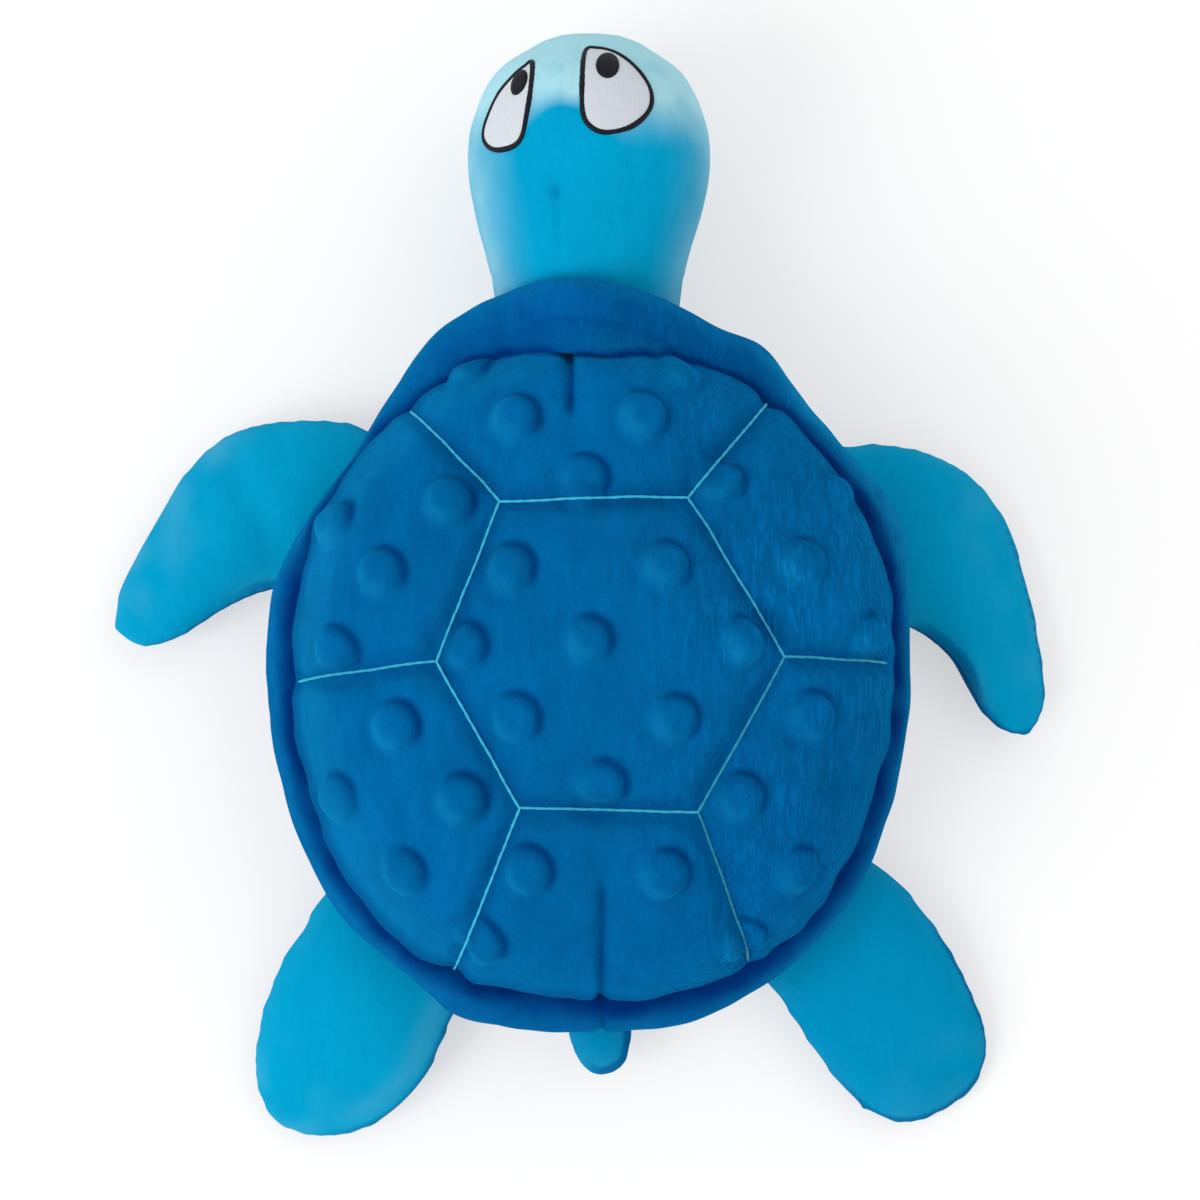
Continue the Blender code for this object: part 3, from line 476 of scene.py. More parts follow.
def egg(turn, half_width, front, rear, front_rounding, rear_rounding):
    """A point of an egg outline; turn 0 is ahead, and turns go clockwise seen from above."""
    ahead = cos(turn) >= 0
    rounding = front_rounding if ahead else rear_rounding
    across = half_width * copysign(abs(sin(turn)) ** (2 * rounding), sin(turn))
    return Vector((across, (front if ahead else rear) * cos(turn)))


def rim_path(turn):
    return egg(turn, SHELL_HALF_WIDTH - RIM_ROLL, SHELL_FRONT - RIM_ROLL, SHELL_REAR - RIM_ROLL,
               SHELL_FRONT_ROUNDING, SHELL_REAR_ROUNDING)


def dome_outline(turn):
    return egg(turn, DOME_HALF_WIDTH, DOME_FRONT, DOME_REAR, DOME_FRONT_ROUNDING, DOME_REAR_ROUNDING)


def turn_of(point, outline):
    """The turn at which an outline lies in the direction of a point."""
    wanted = atan2(abs(point.x), point.y)
    low, high = 0.0, pi
    for _ in range(30):
        middle = (low + high) / 2
        spot = outline(middle)
        if atan2(spot.x, spot.y) < wanted:
            low = middle
        else:
            high = middle
    return copysign((low + high) / 2, point.x)


def rim_height_at(place):
    """Height of the middle of the rim's roll, which rises to the collar at the front."""
    if place.y <= 0:
        return RIM_HEIGHT
    return RIM_HEIGHT + COLLAR_RISE * hill(place.x, COLLAR_HALF_WIDTH)


def collar_at(place, inner, outer):
    """1 in the collar's middle, falling to 0 from inner to outer on its sides, and 0 behind."""
    return 1 - ease(inner, outer, abs(place.x - COLLAR_MIDDLE)) if place.y > 0 else 0.0


def dome_edge_height(turn):
    edge = dome_outline(turn)
    inward = rim_path(turn_of(edge, rim_path)).length - edge.length
    return rim_height_at(edge) + sqrt(max((RIM_ROLL + 2 * FIT_GAP) ** 2 - inward ** 2, 0))


def dome_height(turn, share):
    edge = dome_edge_height(turn)
    return edge + (DOME_TOP - edge) * (1 - min(abs(share), 1) ** 2.3) ** 0.55


def dome_place(point):
    """How far out a point lies on the dome, as a share of its outline, and at which turn."""
    plan = point.to_2d()
    turn = turn_of(plan, dome_outline) if plan.length > MM else 0.0
    return plan.length / dome_outline(turn).length, turn


def on_top(point, share, turn):
    """Whether a point lies on the dome and not on its turned-in edge."""
    return point.z > dome_edge_height(turn) - 2 * MM and share < 1.05


def head_radii(along):
    """Half width and half height of the head at a place along it; below 0 it is the neck's ball."""
    if along <= 0:
        round_end = sqrt(max(NECK_RADIUS ** 2 - along ** 2, 0))
        return round_end, round_end
    width = smooth_table(HEAD_SHARES, along / HEAD_REACH) * HEAD_HALF_WIDTH
    if along < NECK_END:
        width = max(width, NECK_RADIUS)
    flatten = min(1, along / (0.35 * HEAD_REACH))
    return width, width * (1 - flatten * (1 - HEAD_HALF_HEIGHT / HEAD_HALF_WIDTH))


def head_surface(along, angle):
    """A point on the head's skin; angle 0 is on top and grows to the right."""
    width, height = head_radii(along)
    return Vector((width * sin(angle), along, height * cos(angle)))


def limb_matrix(hinge, heading):
    return (Matrix.Translation((hinge[0] * MM, hinge[1] * MM, HINGE_HEIGHT))
            @ Matrix.Rotation(-radians(heading), 4, "Z") @ Matrix.Rotation(-FLIPPER_DROOP, 4, "X"))


def camera_frame():
    """Where the camera stands, and its ways right, up and back."""
    stage = settings("stage")
    back = Vector((-sin(stage.lean_left), -sin(stage.lean_back), 1)).normalized()
    right = Vector((0, 1, 0)).cross(back).normalized()
    return VIEW_MIDDLE + back * stage.camera_distance, right, back.cross(right), back


def view_ray(place):
    """Where the camera stands, and its way to a place measured on the picture in millimetres."""
    camera, right, up, back = camera_frame()
    across = place[0] * MM - VIEW_MIDDLE.x
    along = place[1] * MM - VIEW_MIDDLE.y
    return camera, (right * across + up * along - back * settings("stage").camera_distance).normalized()


def under_view(place, height):
    """The point at a height that the camera sees at a place on the picture."""
    camera, way = view_ray(place)
    return camera + way * ((height - camera.z) / way.z)


def on_dome(place):
    """The point of the plain dome that the camera sees at a place on the picture."""
    point = under_view(place, DOME_TOP)
    for _ in range(8):
        share, turn = dome_place(point)
        point = under_view(place, dome_height(turn, min(share, 1)))
    return point


def rim_line(steps):
    """Points along the middle of the rim's roll, each with the way out, by the edge that the camera sees."""
    outline = [Vector(place) for place in RIM_EDGE]
    edge = []
    for step in range(steps):
        place = smooth_curve(outline, step / steps)
        edge.append(under_view(place, rim_height_at(place * MM)))
    line = []
    for step, spot in enumerate(edge):
        run = edge[(step + 4) % steps] - edge[step - 4]
        outward = Vector((-run.y, run.x, 0)).normalized()
        path = spot - outward * RIM_ROLL
        path.z = rim_height_at(path)
        line.append((path, outward))
    return line


def quilt_lines():
    """The ends of the hexagon's sides and then of the spokes, on the plain dome."""
    corners = [on_dome(place) for place in HEXAGON]
    sides = [(corner, corners[(number + 1) % 6]) for number, corner in enumerate(corners)]
    return sides + [(corner, on_dome(end)) for corner, end in zip(corners, SPOKE_ENDS)]


def flat(point):
    return Vector((point.x, point.y, 0))


def line_distance(point, start, end):
    """Distance from a point to a line between two others, and how far along it that is."""
    span = end - start
    share = min(1.0, max(0.0, (point - start).dot(span) / span.length_squared))
    return (point - start - span * share).length, share


def select_only(obj):
    bpy.ops.object.select_all(action="DESELECT")
    obj.select_set(True)
    bpy.context.view_layer.objects.active = obj


def shape_object(name, points, faces):
    """An object with its place in its mesh, its faces out and smooth."""
    mesh = bpy.data.meshes.new(name)
    mesh.from_pydata(points, [], faces)
    shape = bmesh.new()
    shape.from_mesh(mesh)
    bmesh.ops.recalc_face_normals(shape, faces=shape.faces)
    if shape.calc_volume(signed=True) < 0:
        bmesh.ops.reverse_faces(shape, faces=shape.faces)
    for face in shape.faces:
        face.smooth = True
    shape.to_mesh(mesh)
    shape.free()
    obj = bpy.data.objects.new(name, mesh)
    bpy.context.scene.collection.objects.link(obj)
    return obj


def tube_faces(rows, count, closed):
    """The faces between rings of equal count, and back to the first ring where the tube is closed."""
    faces = []
    for row in range(rows if closed else rows - 1):
        ahead = ((row + 1) % rows - row) * count
        for part in range(count):
            low = row * count + part
            side = row * count + (part + 1) % count
            faces.append((low, side, side + ahead, low + ahead))
    return faces


def closed_tube(name, rings):
    points = [point for ring in rings for point in ring]
    return shape_object(name, points, tube_faces(len(rings), len(rings[0]), True))


def ring_mesh(name, rings, first, last):
    """A closed piece from rings of equal count, with a point at each end."""
    count = len(rings[0])
    points = [point for ring in rings for point in ring] + [first, last]
    faces = tube_faces(len(rings), count, False)
    top = (len(rings) - 1) * count
    for step in range(count):
        side = (step + 1) % count
        faces.append((side, step, len(points) - 2))
        faces.append((top + step, top + side, len(points) - 1))
    return shape_object(name, points, faces)


def add_modifier(obj, kind, **values):
    modifier = obj.modifiers.new(kind.title(), kind)
    for name, value in values.items():
        setattr(modifier, name, value)
    return modifier


def apply_modifier(obj, modifier):
    select_only(obj)
    bpy.ops.object.modifier_apply(modifier=modifier.name)


def even_out(obj, times):
    """Takes the small steps of the cells out of a piece."""
    apply_modifier(obj, add_modifier(obj, "SMOOTH", factor=0.5, iterations=times))


def subdivide(obj, levels):
    apply_modifier(obj, add_modifier(obj, "SUBSURF", levels=levels, render_levels=levels))


def stuff(obj, step, growth, cap, held):
    """Blows a piece up as its stuffing does: even cells, cloth under pressure, and a cap on each move.

    held gives from 0 to 1 how firmly the sewing holds a point. The cloth is simulated at a larger scale.
    """
    apply_modifier(obj, add_modifier(obj, "REMESH", mode="VOXEL", voxel_size=step, use_smooth_shade=True))
    start = [point.co.copy() for point in obj.data.vertices]
    group = obj.vertex_groups.new(name="held")
    for index, point in enumerate(start):
        weight = held(point)
        if weight > 0:
            group.add([index], weight, "REPLACE")
    obj.data.transform(Matrix.Scale(CLOTH_SCALE, 4))
    modifier = add_modifier(obj, "CLOTH")
    for name, value in CLOTH.items():
        setattr(modifier.settings, name, value)
    modifier.settings.shrink_min = -growth
    modifier.settings.vertex_group_mass = group.name
    modifier.settings.effector_weights.gravity = 0
    modifier.collision_settings.use_collision = False
    modifier.point_cache.frame_start = 1
    modifier.point_cache.frame_end = CLOTH_FRAMES
    for frame_number in range(1, CLOTH_FRAMES + 1):
        bpy.context.scene.frame_set(frame_number)
    apply_modifier(obj, modifier)
    bpy.context.scene.frame_set(1)
    obj.data.transform(Matrix.Scale(1 / CLOTH_SCALE, 4))
    for point, rest in zip(obj.data.vertices, start):
        move = point.co - rest
        if move.length > cap:
            point.co = rest + move * (cap / move.length)
    obj.vertex_groups.clear()


def read_points(obj, read):
    """What a function gives for each point of a piece, as one row for each of its results."""
    return zip(*[read(vertex.co) for vertex in obj.data.vertices])


def move_out(obj, amounts):
    """Moves each point along its normal."""
    normals = [point.normal.copy() for point in obj.data.vertices]
    for point, normal, amount in zip(obj.data.vertices, normals, amounts):
        point.co += normal * amount
    obj.data.update()


def lift_from_floor(obj, height):
    for vertex in obj.data.vertices:
        vertex.co.z = max(vertex.co.z, height)


def set_levels(obj, name, levels):
    """Stores one number for each point, which the material reads."""
    attribute = obj.data.attributes.get(name) or obj.data.attributes.new(name, "FLOAT", "POINT")
    attribute.data.foreach_set("value", levels)


def paint_contact_shade(obj, other, most, reach):
    """Paints shade on a piece where it lies close to another, widest on the right and at the rear."""
    tree = BVHTree.FromObject(other, bpy.context.evaluated_depsgraph_get())
    levels = [entry.value for entry in obj.data.attributes["crease"].data]
    contact_shades = []
    for vertex, level in zip(obj.data.vertices, levels):
        spot = vertex.co
        wide = reach * (1 + 0.6 * ease(-0.1, 0.7, (spot.x - spot.y) / (2 * SHELL_REAR)))
        wide *= (1 + 0.3 * lumps(spot, 15 * MM, 90)) * (1 - 0.6 * ease(50 * MM, 64 * MM, spot.y))
        hit = tree.find_nearest(spot, wide)
        near = 1 - ease(0.2 * MM, wide, hit[3]) if hit[0] is not None else 0.0
        near *= 1 + 0.5 * lumps(spot, 6 * MM, 91)
        contact_shades.append(max(level, min(1.0, most * near)))
    set_levels(obj, "crease", contact_shades)


def dress(obj, material, slot, body, nodes, fill=None, **levels):
    """Gives a piece its levels, its finish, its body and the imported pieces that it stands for."""
    for name, values in levels.items():
        set_levels(obj, name, values)
    select_only(obj)
    bpy.ops.object.shade_smooth()
    obj.data.materials.clear()
    obj.data.materials.append(material)
    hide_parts(*nodes)
    if body:
        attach(obj, body)


class TURTLE_OT_stage(bpy.types.Operator):
    """Adds the floor, the lights and the camera"""
    bl_idname = "turtle.stage"
    bl_label = "Stage"

    def execute(self, context):
        stage = settings("stage")
        bpy.ops.mesh.primitive_plane_add(size=4, location=(0, 0, 0))
        floor = context.object
        floor.name = "floor"
        shader = Shader("pale_floor")
        matt = shader.node("ShaderNodeBsdfDiffuse", None, {"Color": tuple(stage.floor_colour) + (1.0,)})
        bright = shader.node("ShaderNodeEmission", None, {"Color": WHITE, "Strength": 1.0})
        seen = shader.node("ShaderNodeLightPath", output="Is Camera Ray")
        surface = shader.node("ShaderNodeMixShader", None, {0: seen * stage.floor_lift, 1: matt, 2: bright})
        shader.node("ShaderNodeOutputMaterial", None, {"Surface": surface})
        floor.data.materials.append(shader.material)
        world = bpy.data.worlds.new("even_light")
        world.use_nodes = True
        sky = world.node_tree.nodes["Background"].inputs
        sky["Color"].default_value = WHITE
        sky["Strength"].default_value = stage.sky_strength
        context.scene.world = world
        for name, place, size, share in (
                ("key_light", (-1.8, -0.9, 1.7), 1.5, 1.0), ("fill_light", (1.4, 1.0, 2.2), 1.8, 0.2)):
            light = bpy.data.lights.new(name, "AREA")
            light.energy = stage.key_power * share
            light.size = size
            lamp = bpy.data.objects.new(name, light)
            lamp.location = place
            lamp.rotation_euler = (-Vector(place)).to_track_quat("-Z", "Y").to_euler()
            context.scene.collection.objects.link(lamp)
        lens = bpy.data.cameras.new("camera")
        lens.lens = stage.camera_lens
        lens.sensor_width = 36
        camera = bpy.data.objects.new("camera", lens)
        context.scene.collection.objects.link(camera)
        place, right, up, back = camera_frame()
        camera.matrix_world = Matrix.Translation(place) @ Matrix((right, up, back)).transposed().to_4x4()
        context.scene.camera = camera
        context.scene.view_settings.view_transform = "Standard"
        return {"FINISHED"}


class TURTLE_OT_shell(bpy.types.Operator):
    """Makes the quilted shell with its raised dots, sewn valleys and darts"""
    bl_idname = "turtle.shell"
    bl_label = "Shell"

    def execute(self, context):
        shell = settings("shell")
        seams = [(flat(start), flat(end)) for start, end in quilt_lines()]
        darts = [(flat(on_dome(start)), flat(on_dome(end)), depth) for start, end, depth in DARTS]
        dots = []
        for place in DOTS:
            spot = on_dome(place)
            place = Vector(place)
            slope = (on_dome(place * 0.95).z - on_dome(place * 1.05).z) / (0.1 * place.length * MM)
            sink = shell.dot_height * 0.7 * slope / sqrt(1 + slope * slope)
            dots.append(spot - flat(spot).normalized() * sink)

        def seam_distance(point):
            return min(line_distance(flat(point), start, end)[0] for start, end in seams)

        def held(point):
            share, turn = dome_place(point)
            if share > 0.95 or not on_top(point, share, turn):
                return 1.0
            near_dart = min(line_distance(flat(point), start, end)[0] for start, end, depth in darts)
            return 1.0 if min(seam_distance(point), near_dart) < 1.7 * MM else 0.0

        def darted(point):
            """How far the darts move a point, and their painted shade."""
            amount = crease = 0.0
            for start, end, depth in darts:
                near, along = line_distance(flat(point), start, end)
                pull = depth * (1 - ease(0.75, 1.0, along))
                amount -= 1.5 * MM * pull * hill(near, 1.1 * MM)
                amount += 0.5 * MM * pull * hill(near - 3.4 * MM, 2.6 * MM)
                # Painted shade along each dart's fold.
                crease = max(crease, 0.85 * pull * hill(near, 0.7 * MM))
            return amount, crease

        def dotted(point, near_seam):
            """How far the dots move a point, their painted shade on the side away from the light and their
            painted highlight on the side toward it.
            """
            amount = crease = glow = 0.0
            full = (1 - 0.55 * hill(near_seam, 3 * MM)) * (1 - 0.6 * ease(58 * MM, 66 * MM, point.y))
            for dot in dots:
                away = point - dot
                edge = away.length / shell.dot_radius
                if edge < 1.6:
                    far = away.normalized().dot(FAR_SIDE)
                    amount += shell.dot_height * (1 - ease(0.44, 1.12, edge)) * full
                    amount -= 0.35 * MM * hill(edge - 1.18, 0.25)
                    # Painted shade: a dark crescent on each dot's side away from the light.
                    crease = max(crease, 0.85 * hill(edge - 0.96, 0.16) * ease(-0.2, 0.8, far))
                    # Painted highlight on each dot's side toward the light.
                    glow += 0.16 * hill(edge - 0.72, 0.28) * ease(-0.1, 0.9, -far)
            return amount, crease, glow

        def quilted(point):
            """How far a point moves out and down, and its levels of painted shade, painted sheen and brush.
            """
            share, turn = dome_place(point)
            brush = max(0.12, ease(-12 * MM, 44 * MM, point.x)) * (0.75 + 0.6 * lumps(point, 22 * MM, 70))
            if not on_top(point, share, turn):
                return 0.0, 0.0, 0.0, 0.0, brush
            near = seam_distance(point)
            dart_amount, dart_crease = darted(point)
            dot_amount, dot_crease, glow = dotted(point, near)
            front = ease(50 * MM, 62 * MM, point.y)
            gathers = ease(0.80, 0.98, share) * (1 - front)
            amount = dart_amount + dot_amount - shell.seam_depth * hill(near, 2.6 * MM)
            amount += gathers * 0.9 * MM * lumps(Vector((turn * 9, share * 2, 0)), 1.0, 3)
            amount += 0.9 * MM * lumps(point, 26 * MM, 1)
            amount += 0.35 * MM * lumps(point, 9 * MM, 2) * (1 - 0.7 * front)
            # Painted sheen highlight along the dome's left edge.
            glow += 0.16 * hill(share - 0.93, 0.06) * max(0.0, -point.x / DOME_HALF_WIDTH)
            drop = 5.0 * MM * collar_at(point, 20 * MM, 44 * MM) * ease(0.84, 0.96, share)
            drop *= ease(-2 * MM, 2 * MM, point.z - dome_edge_height(turn))
            # Painted shade in the quilted valleys, the darts, the dots' far sides, where the dome turns under
            # the rim, and over the lower right of the dome.
            crease = max(0.35 * hill(near, 1.6 * MM), dart_crease, dot_crease, 0.75 * ease(0.955, 1.0, share),
                         0.22 * ease(-10 * MM, 45 * MM, point.x) * ease(10 * MM, -60 * MM, point.y))
            return amount, drop, crease, glow, brush

        def dome_ring(share, height):
            return [Vector((*(dome_outline(turn) * share), height(turn))) for turn in circle(160)]

        rings = []
        for share in [row / 44 for row in range(1, 45)]:
            drop = SHELL_SWELL * (1 - share ** 6)
            rings.append(dome_ring(share, lambda turn: dome_height(turn, share) - drop))
        for share, down in ((0.985, 3.5), (0.95, 7), (0.85, 10), (0.6, 11), (0.3, 11)):
            rings.append(dome_ring(share, lambda turn: dome_edge_height(turn) - down * MM))
        ends = [Vector((0, 0, height)) for height in (DOME_TOP - SHELL_SWELL, INNER_TOP)]
        obj = ring_mesh("shell_plush", rings, *ends)
        stuff(obj, shell.cloth_step, growth=0.035, cap=5 * MM, held=held)
        subdivide(obj, 2)
        amounts, drops, creases, glows, brushes = read_points(obj, quilted)
        move_out(obj, amounts)
        for vertex, drop in zip(obj.data.vertices, drops):
            vertex.co.z -= drop
        material = plush_material(
            "dotted_plush_finish", shell.colour, shell.sheen_colour,
            light=1.30, dark=0.66, nap=0.6 * MM, streaks=0.6, sheen=0.5)
        dress(obj, material, "dotted_plush", "torso", ["shell_cover", "body_filling"], fill=0.8,
              crease=creases, glow=glows, brush=brushes)
        return {"FINISHED"}


class TURTLE_OT_stitching(bpy.types.Operator):
    """Sews the hexagon and its six spokes with single stitches"""
    bl_idname = "turtle.stitching"
    bl_label = "Shell stitching"

    def execute(self, context):
        shell = settings("shell")
        tree = BVHTree.FromObject(bpy.data.objects["shell_plush"], context.evaluated_depsgraph_get())
        pitch = shell.stitch_length + shell.stitch_gap
        bpy.ops.mesh.primitive_uv_sphere_add(segments=8, ring_count=6, radius=1, location=(0, 0, 0))
        stitch = context.object
        pattern = [point.co.copy() for point in stitch.data.vertices]
        patches = [tuple(face.vertices) for face in stitch.data.polygons]
        bpy.data.objects.remove(stitch)

        def on_plush(spot, seed):
            """Where the plush lies under a spot of the line, which wanders a little, and its way out."""
            wander = lumps(spot, 12 * MM, seed) * 0.35 * MM
            above = Vector((spot.x + wander, spot.y + wander, 2 * DOME_TOP))
            return tree.ray_cast(above, Vector((0, 0, -1)))[:2]

        points = []
        faces = []
        fades = []
        for number, (start, end) in enumerate(quilt_lines()):
            count = max(1, round((end - start).length / pitch))
            for step in range(count):
                low, normal = on_plush(start.lerp(end, step / count), 5 + number)
                high, _ = on_plush(start.lerp(end, (step + 1) / count), 5 + number)
                run = (high - low).normalized()
                side = normal.cross(run).normalized()
                up = run.cross(side)
                middle = (low + high) / 2 + up * (THREAD_LIFTS[number] * MM)
                half = (high - low).length * shell.stitch_length / (2 * pitch)
                base = len(points)
                for corner in pattern:
                    bulge = copysign(abs(corner.x) ** 0.55, corner.x)
                    points.append(
                        middle + run * (bulge * half) + side * (corner.y * shell.thread_thickness / 2)
                        + up * (corner.z * shell.thread_thickness * 0.4))
                    fades.append(THREAD_DARKENING[number])
                faces += [tuple(base + index for index in face) for face in patches]
        obj = shape_object("shell_stitches", points, faces)
        material = thread_material(
            "light_thread_finish", shell.thread_colour, "DIAGONAL",
            roughness=0.6, sheen=0.1, line_scale=900, depth=0.05 * MM)
        dress(obj, material, "light_thread", "torso", ["shell_stitching"], fade=fades)
        return {"FINISHED"}


class TURTLE_OT_rim(bpy.types.Operator):
    """Makes the rolled rim, which rises as a folded collar over the neck"""
    bl_idname = "turtle.rim"
    bl_label = "Rim"

    def execute(self, context):
        shell = settings("shell")
        line = rim_line(420)
        rings = []
        creases = []
        glows = []
        brushes = []
        for (path, outward), turn in zip(line, circle(len(line))):
            turn = signed(turn)
            collar = collar_at(path, 16 * MM, 44 * MM)
            rear = ease(0.55, 0.95, -path.y / SHELL_REAR) * ease(-45 * MM, -10 * MM, path.x)
            right = ease(0.1, 0.9, outward.x) * ease(-50 * MM, 0, path.y)
            ridge = ease(0.75, 0.95, turn) * (1 - ease(1.25, 1.45, turn))
            seam = hill(path.x - 1.9 * MM, 0.9 * MM) if path.y < 0 else 0.0
            ring = []
            for angle in circle(44):
                reach = RIM_ROLL * cos(angle)
                height = RIM_ROLL * sin(angle)
                if collar > 0.02:
                    lip = collar * max(0.0, -cos(angle)) ** 1.5
                    reach -= 2.4 * MM * lip
                    height += 9.0 * MM * lip * (1 - 0.45 * max(0.0, sin(angle)))
                spot = Vector((turn * 7, angle * 0.8, 0))
                ripple = (0.7 * lumps(spot * 0.7, 1.0, 2) + 0.18 * lumps(spot * 2.0, 1.0, 4)) * MM
                fold = 0.9 * MM * hill(angle - 1.9 - 0.3 * sin(turn * 3), 0.22) * (0.4 + 0.6 * collar)
                fold += MM * ridge * (0.8 * hill(angle - 0.85, 0.22) - 0.7 * hill(angle - 1.2, 0.2))
                roll = ripple - fold - 1.1 * MM * seam
                ring.append(path + outward * (reach + roll * cos(angle))
                            + Vector((0, 0, height + roll * sin(angle))))
                # Painted sheen highlight on the roll's outer side, strongest on the right, along the collar's
                # lip and on the fold's ridge.
                glow = (0.10 + 0.24 * right) * hill(angle - 0.6, 0.5) * (1 + 0.4 * lumps(spot * 3, 1.0, 6))
                glow += 0.26 * collar * hill(angle - 2.4, 0.4) * ease(-15 * MM, 20 * MM, path.x)
                glows.append(glow + 0.22 * ridge * hill(angle - 1.2, 0.16))
                brushed = 0.6 * max(collar, right) * ease(-30 * MM, 30 * MM, path.x)
                brushes.append(brushed * (0.8 + lumps(spot * 2, 1.0, 71)))
                # Painted shade under the roll, at the rear, in the collar's fold and in the rear seam.
                under = ease(1.45, 2.25, angle) * (1 - ease(3.6, 4.4, angle)) * (1 - 0.75 * collar)
                crease = 0.35 * collar * hill(angle - 1.9, 0.12)
                creases.append(max(0.75 * seam, 0.9 * under, 0.3 * rear, crease))
            rings.append(ring)
        obj = closed_tube("rim_plush", rings)
        set_levels(obj, "crease", creases)
        cover = bpy.data.objects["shell_plush"]
        # Painted shade where the rim and the dome meet, on both pieces.
        paint_contact_shade(obj, cover, most=1.0, reach=5.6 * MM)
        paint_contact_shade(cover, obj, most=0.8, reach=3.0 * MM)
        material = plush_material(
            "rim_plush_finish", shell.rim_colour, shell.sheen_colour,
            light=1.35, dark=0.6, nap=0.6 * MM, streaks=0.5, sheen=0.5)
        dress(obj, material, "rim_plush", "torso", ["rim_cover", "rim_filling"], fill=0.8,
              glow=glows, brush=brushes)
        return {"FINISHED"}


class TURTLE_OT_belly(bpy.types.Operator):
    """Makes the stuffed underside"""
    bl_idname = "turtle.belly"
    bl_label = "Belly"

    def execute(self, context):
        shell = settings("shell")
        line = [path.to_2d() for path, outward in rim_line(180)]
        rings = []
        for share, rise in BELLY_PROFILE:
            ring = []
            for path in line:
                plan = path * share
                edge = rim_height_at(plan) - RIM_ROLL - 0.2 * MM
                ring.append(Vector((plan.x, plan.y, edge * rise)))
            rings.append(ring)
        obj = ring_mesh("belly_plush", rings, Vector((0, 0, 0)), Vector((0, 0, INNER_TOP)))
        subdivide(obj, 1)

        def rumpled(point):
            side = ease(1.5 * MM, 8 * MM, point.z)
            return (side * (0.7 * lumps(point, 14 * MM, 8) + 0.3 * lumps(point, 5 * MM, 9)) * MM,)

        move_out(obj, *read_points(obj, rumpled))
        lift_from_floor(obj, 0.05 * MM)
        material = plush_material(
            "belly_velour_finish", shell.belly_colour, settings("skin").sheen_colour,
            light=1.2, dark=0.75, nap=0.3 * MM, streaks=0.25, sheen=0.3)
        dress(obj, material, "belly_velour", "torso", ["belly_panel"], fill=0.7)
        return {"FINISHED"}


class TURTLE_OT_head(bpy.types.Operator):
    """Makes the stuffed head with its centre seam and its dart"""
    bl_idname = "turtle.head"
    bl_label = "Head"

    def execute(self, context):
        skin = settings("skin")
        matrix = (Matrix.Translation(NECK_PIVOT - HEAD_SHIFT) @ Matrix.Rotation(HEAD_TILT, 4, "X")
                  @ Matrix.Rotation(HEAD_ROLL, 4, "Y"))
        turning = matrix.to_3x3()

        def sewn(along, turned):
            """A point of the skin with its seams pulled in, and its levels of painted shade and painted
            sheen.
            """
            point = head_surface(along, turned)
            share = along / HEAD_REACH
            nose = ease(0.62, 0.78, share)
            dart = (1 - ease(0.31, 0.36, share)) * ease(0.02, 0.2, share)
            bent = turned + 0.12 * (1 - ease(0.36, 0.6, share))
            girth = sqrt(max(point.x * point.x + point.z * point.z, MM * MM))
            top_seam = hill(bent * girth, 0.7 * MM)
            under_seam = hill((abs(turned) - pi) * 25 * MM, 0.7 * MM)
            seam = max(top_seam * max(nose, 0.75 * dart), under_seam)
            spot = hill((turned + 0.13) * 24 * MM, 1.4 * MM) * hill((share - 0.335) * HEAD_REACH, 1.8 * MM)
            push = -0.35 * MM * seam - 0.8 * MM * spot
            push += 0.35 * MM * lumps(point, 16 * MM, 12) + 0.12 * MM * lumps(point, 5 * MM, 13)
            neck = 1 - ease(0.0, 0.22, share)
            push += neck * 0.5 * MM * lumps(Vector((turned * 5, share * 2, 0)), 1.0, 14)
            direction = Vector((sin(turned), 0, cos(turned)))
            place = point + direction * push - Vector((0, TIP_DRAW * ease(0.8, 1, share), 0))
            end = ease(0.72, 1.0, share)
            lean = direction * (1 - end) + Vector((0, 0.9 * max(0.0, share - 0.55) + end, 0))
            up = (turning @ lean).normalized()
            # Painted sheen highlight: paler where the skin turns from the top, more on the left, and on the
            # nose; less in a patch in the middle, and mottled.
            pale = ease(0.15, 0.85, 1 - up.z) * (0.66 if up.x < 0 else 0.54)
            pale += 1.05 * ease(0.49, 0.82, share) + 0.5 * hill(turned, 0.07) * nose * (1 - end)
            pale *= ease(-0.55, 0.05, up.z)
            patch = hill(turned + 0.06, 0.24) * hill(share - 0.57, 0.13)
            mottle = 0.85 + 0.45 * lumps(point, 16 * MM, 60) + 0.25 * lumps(point, 6 * MM, 61)
            glow = min(1.3, max(0.0, (pale - 1.1 * patch) * mottle))
            # Painted shade in the seams and in the dart's dimple.
            return matrix @ place, min(1.0, 0.16 * seam * (1 - nose) + 0.34 * spot), glow

        stations = [-NECK_RADIUS * share for share in (0.9555, 0.8, 0.55, 0.28)]
        stations += [HEAD_REACH * (row / 110) ** 0.9 for row in range(100)]
        stations += [HEAD_REACH * share for share in (0.945, 0.96, 0.972, 0.982, 0.99, 0.996, 0.999)]
        rings = []
        creases = []
        glows = []
        for along in sorted(stations):
            ring, crease, glow = zip(*[sewn(along, signed(angle)) for angle in circle(220)])
            rings.append(ring)
            creases += crease
            glows += glow
        ends = [matrix @ Vector((0, along, 0)) for along in (-NECK_RADIUS, HEAD_REACH - TIP_DRAW)]
        obj = ring_mesh("head_skin", rings, *ends)
        material = plush_material(
            "velour_finish", skin.colour, skin.sheen_colour,
            light=1.12, dark=0.84, nap=0.25 * MM, streaks=0.3, sheen=0.10)
        dress(obj, material, "cyan_velour", "head",
              ["head_left_panel", "head_right_panel", "head_filling", "neck_filling"], fill=0.9,
              crease=creases + [0.0, 0.0], glow=glows + [glows[0], glows[-1]])
        return {"FINISHED"}


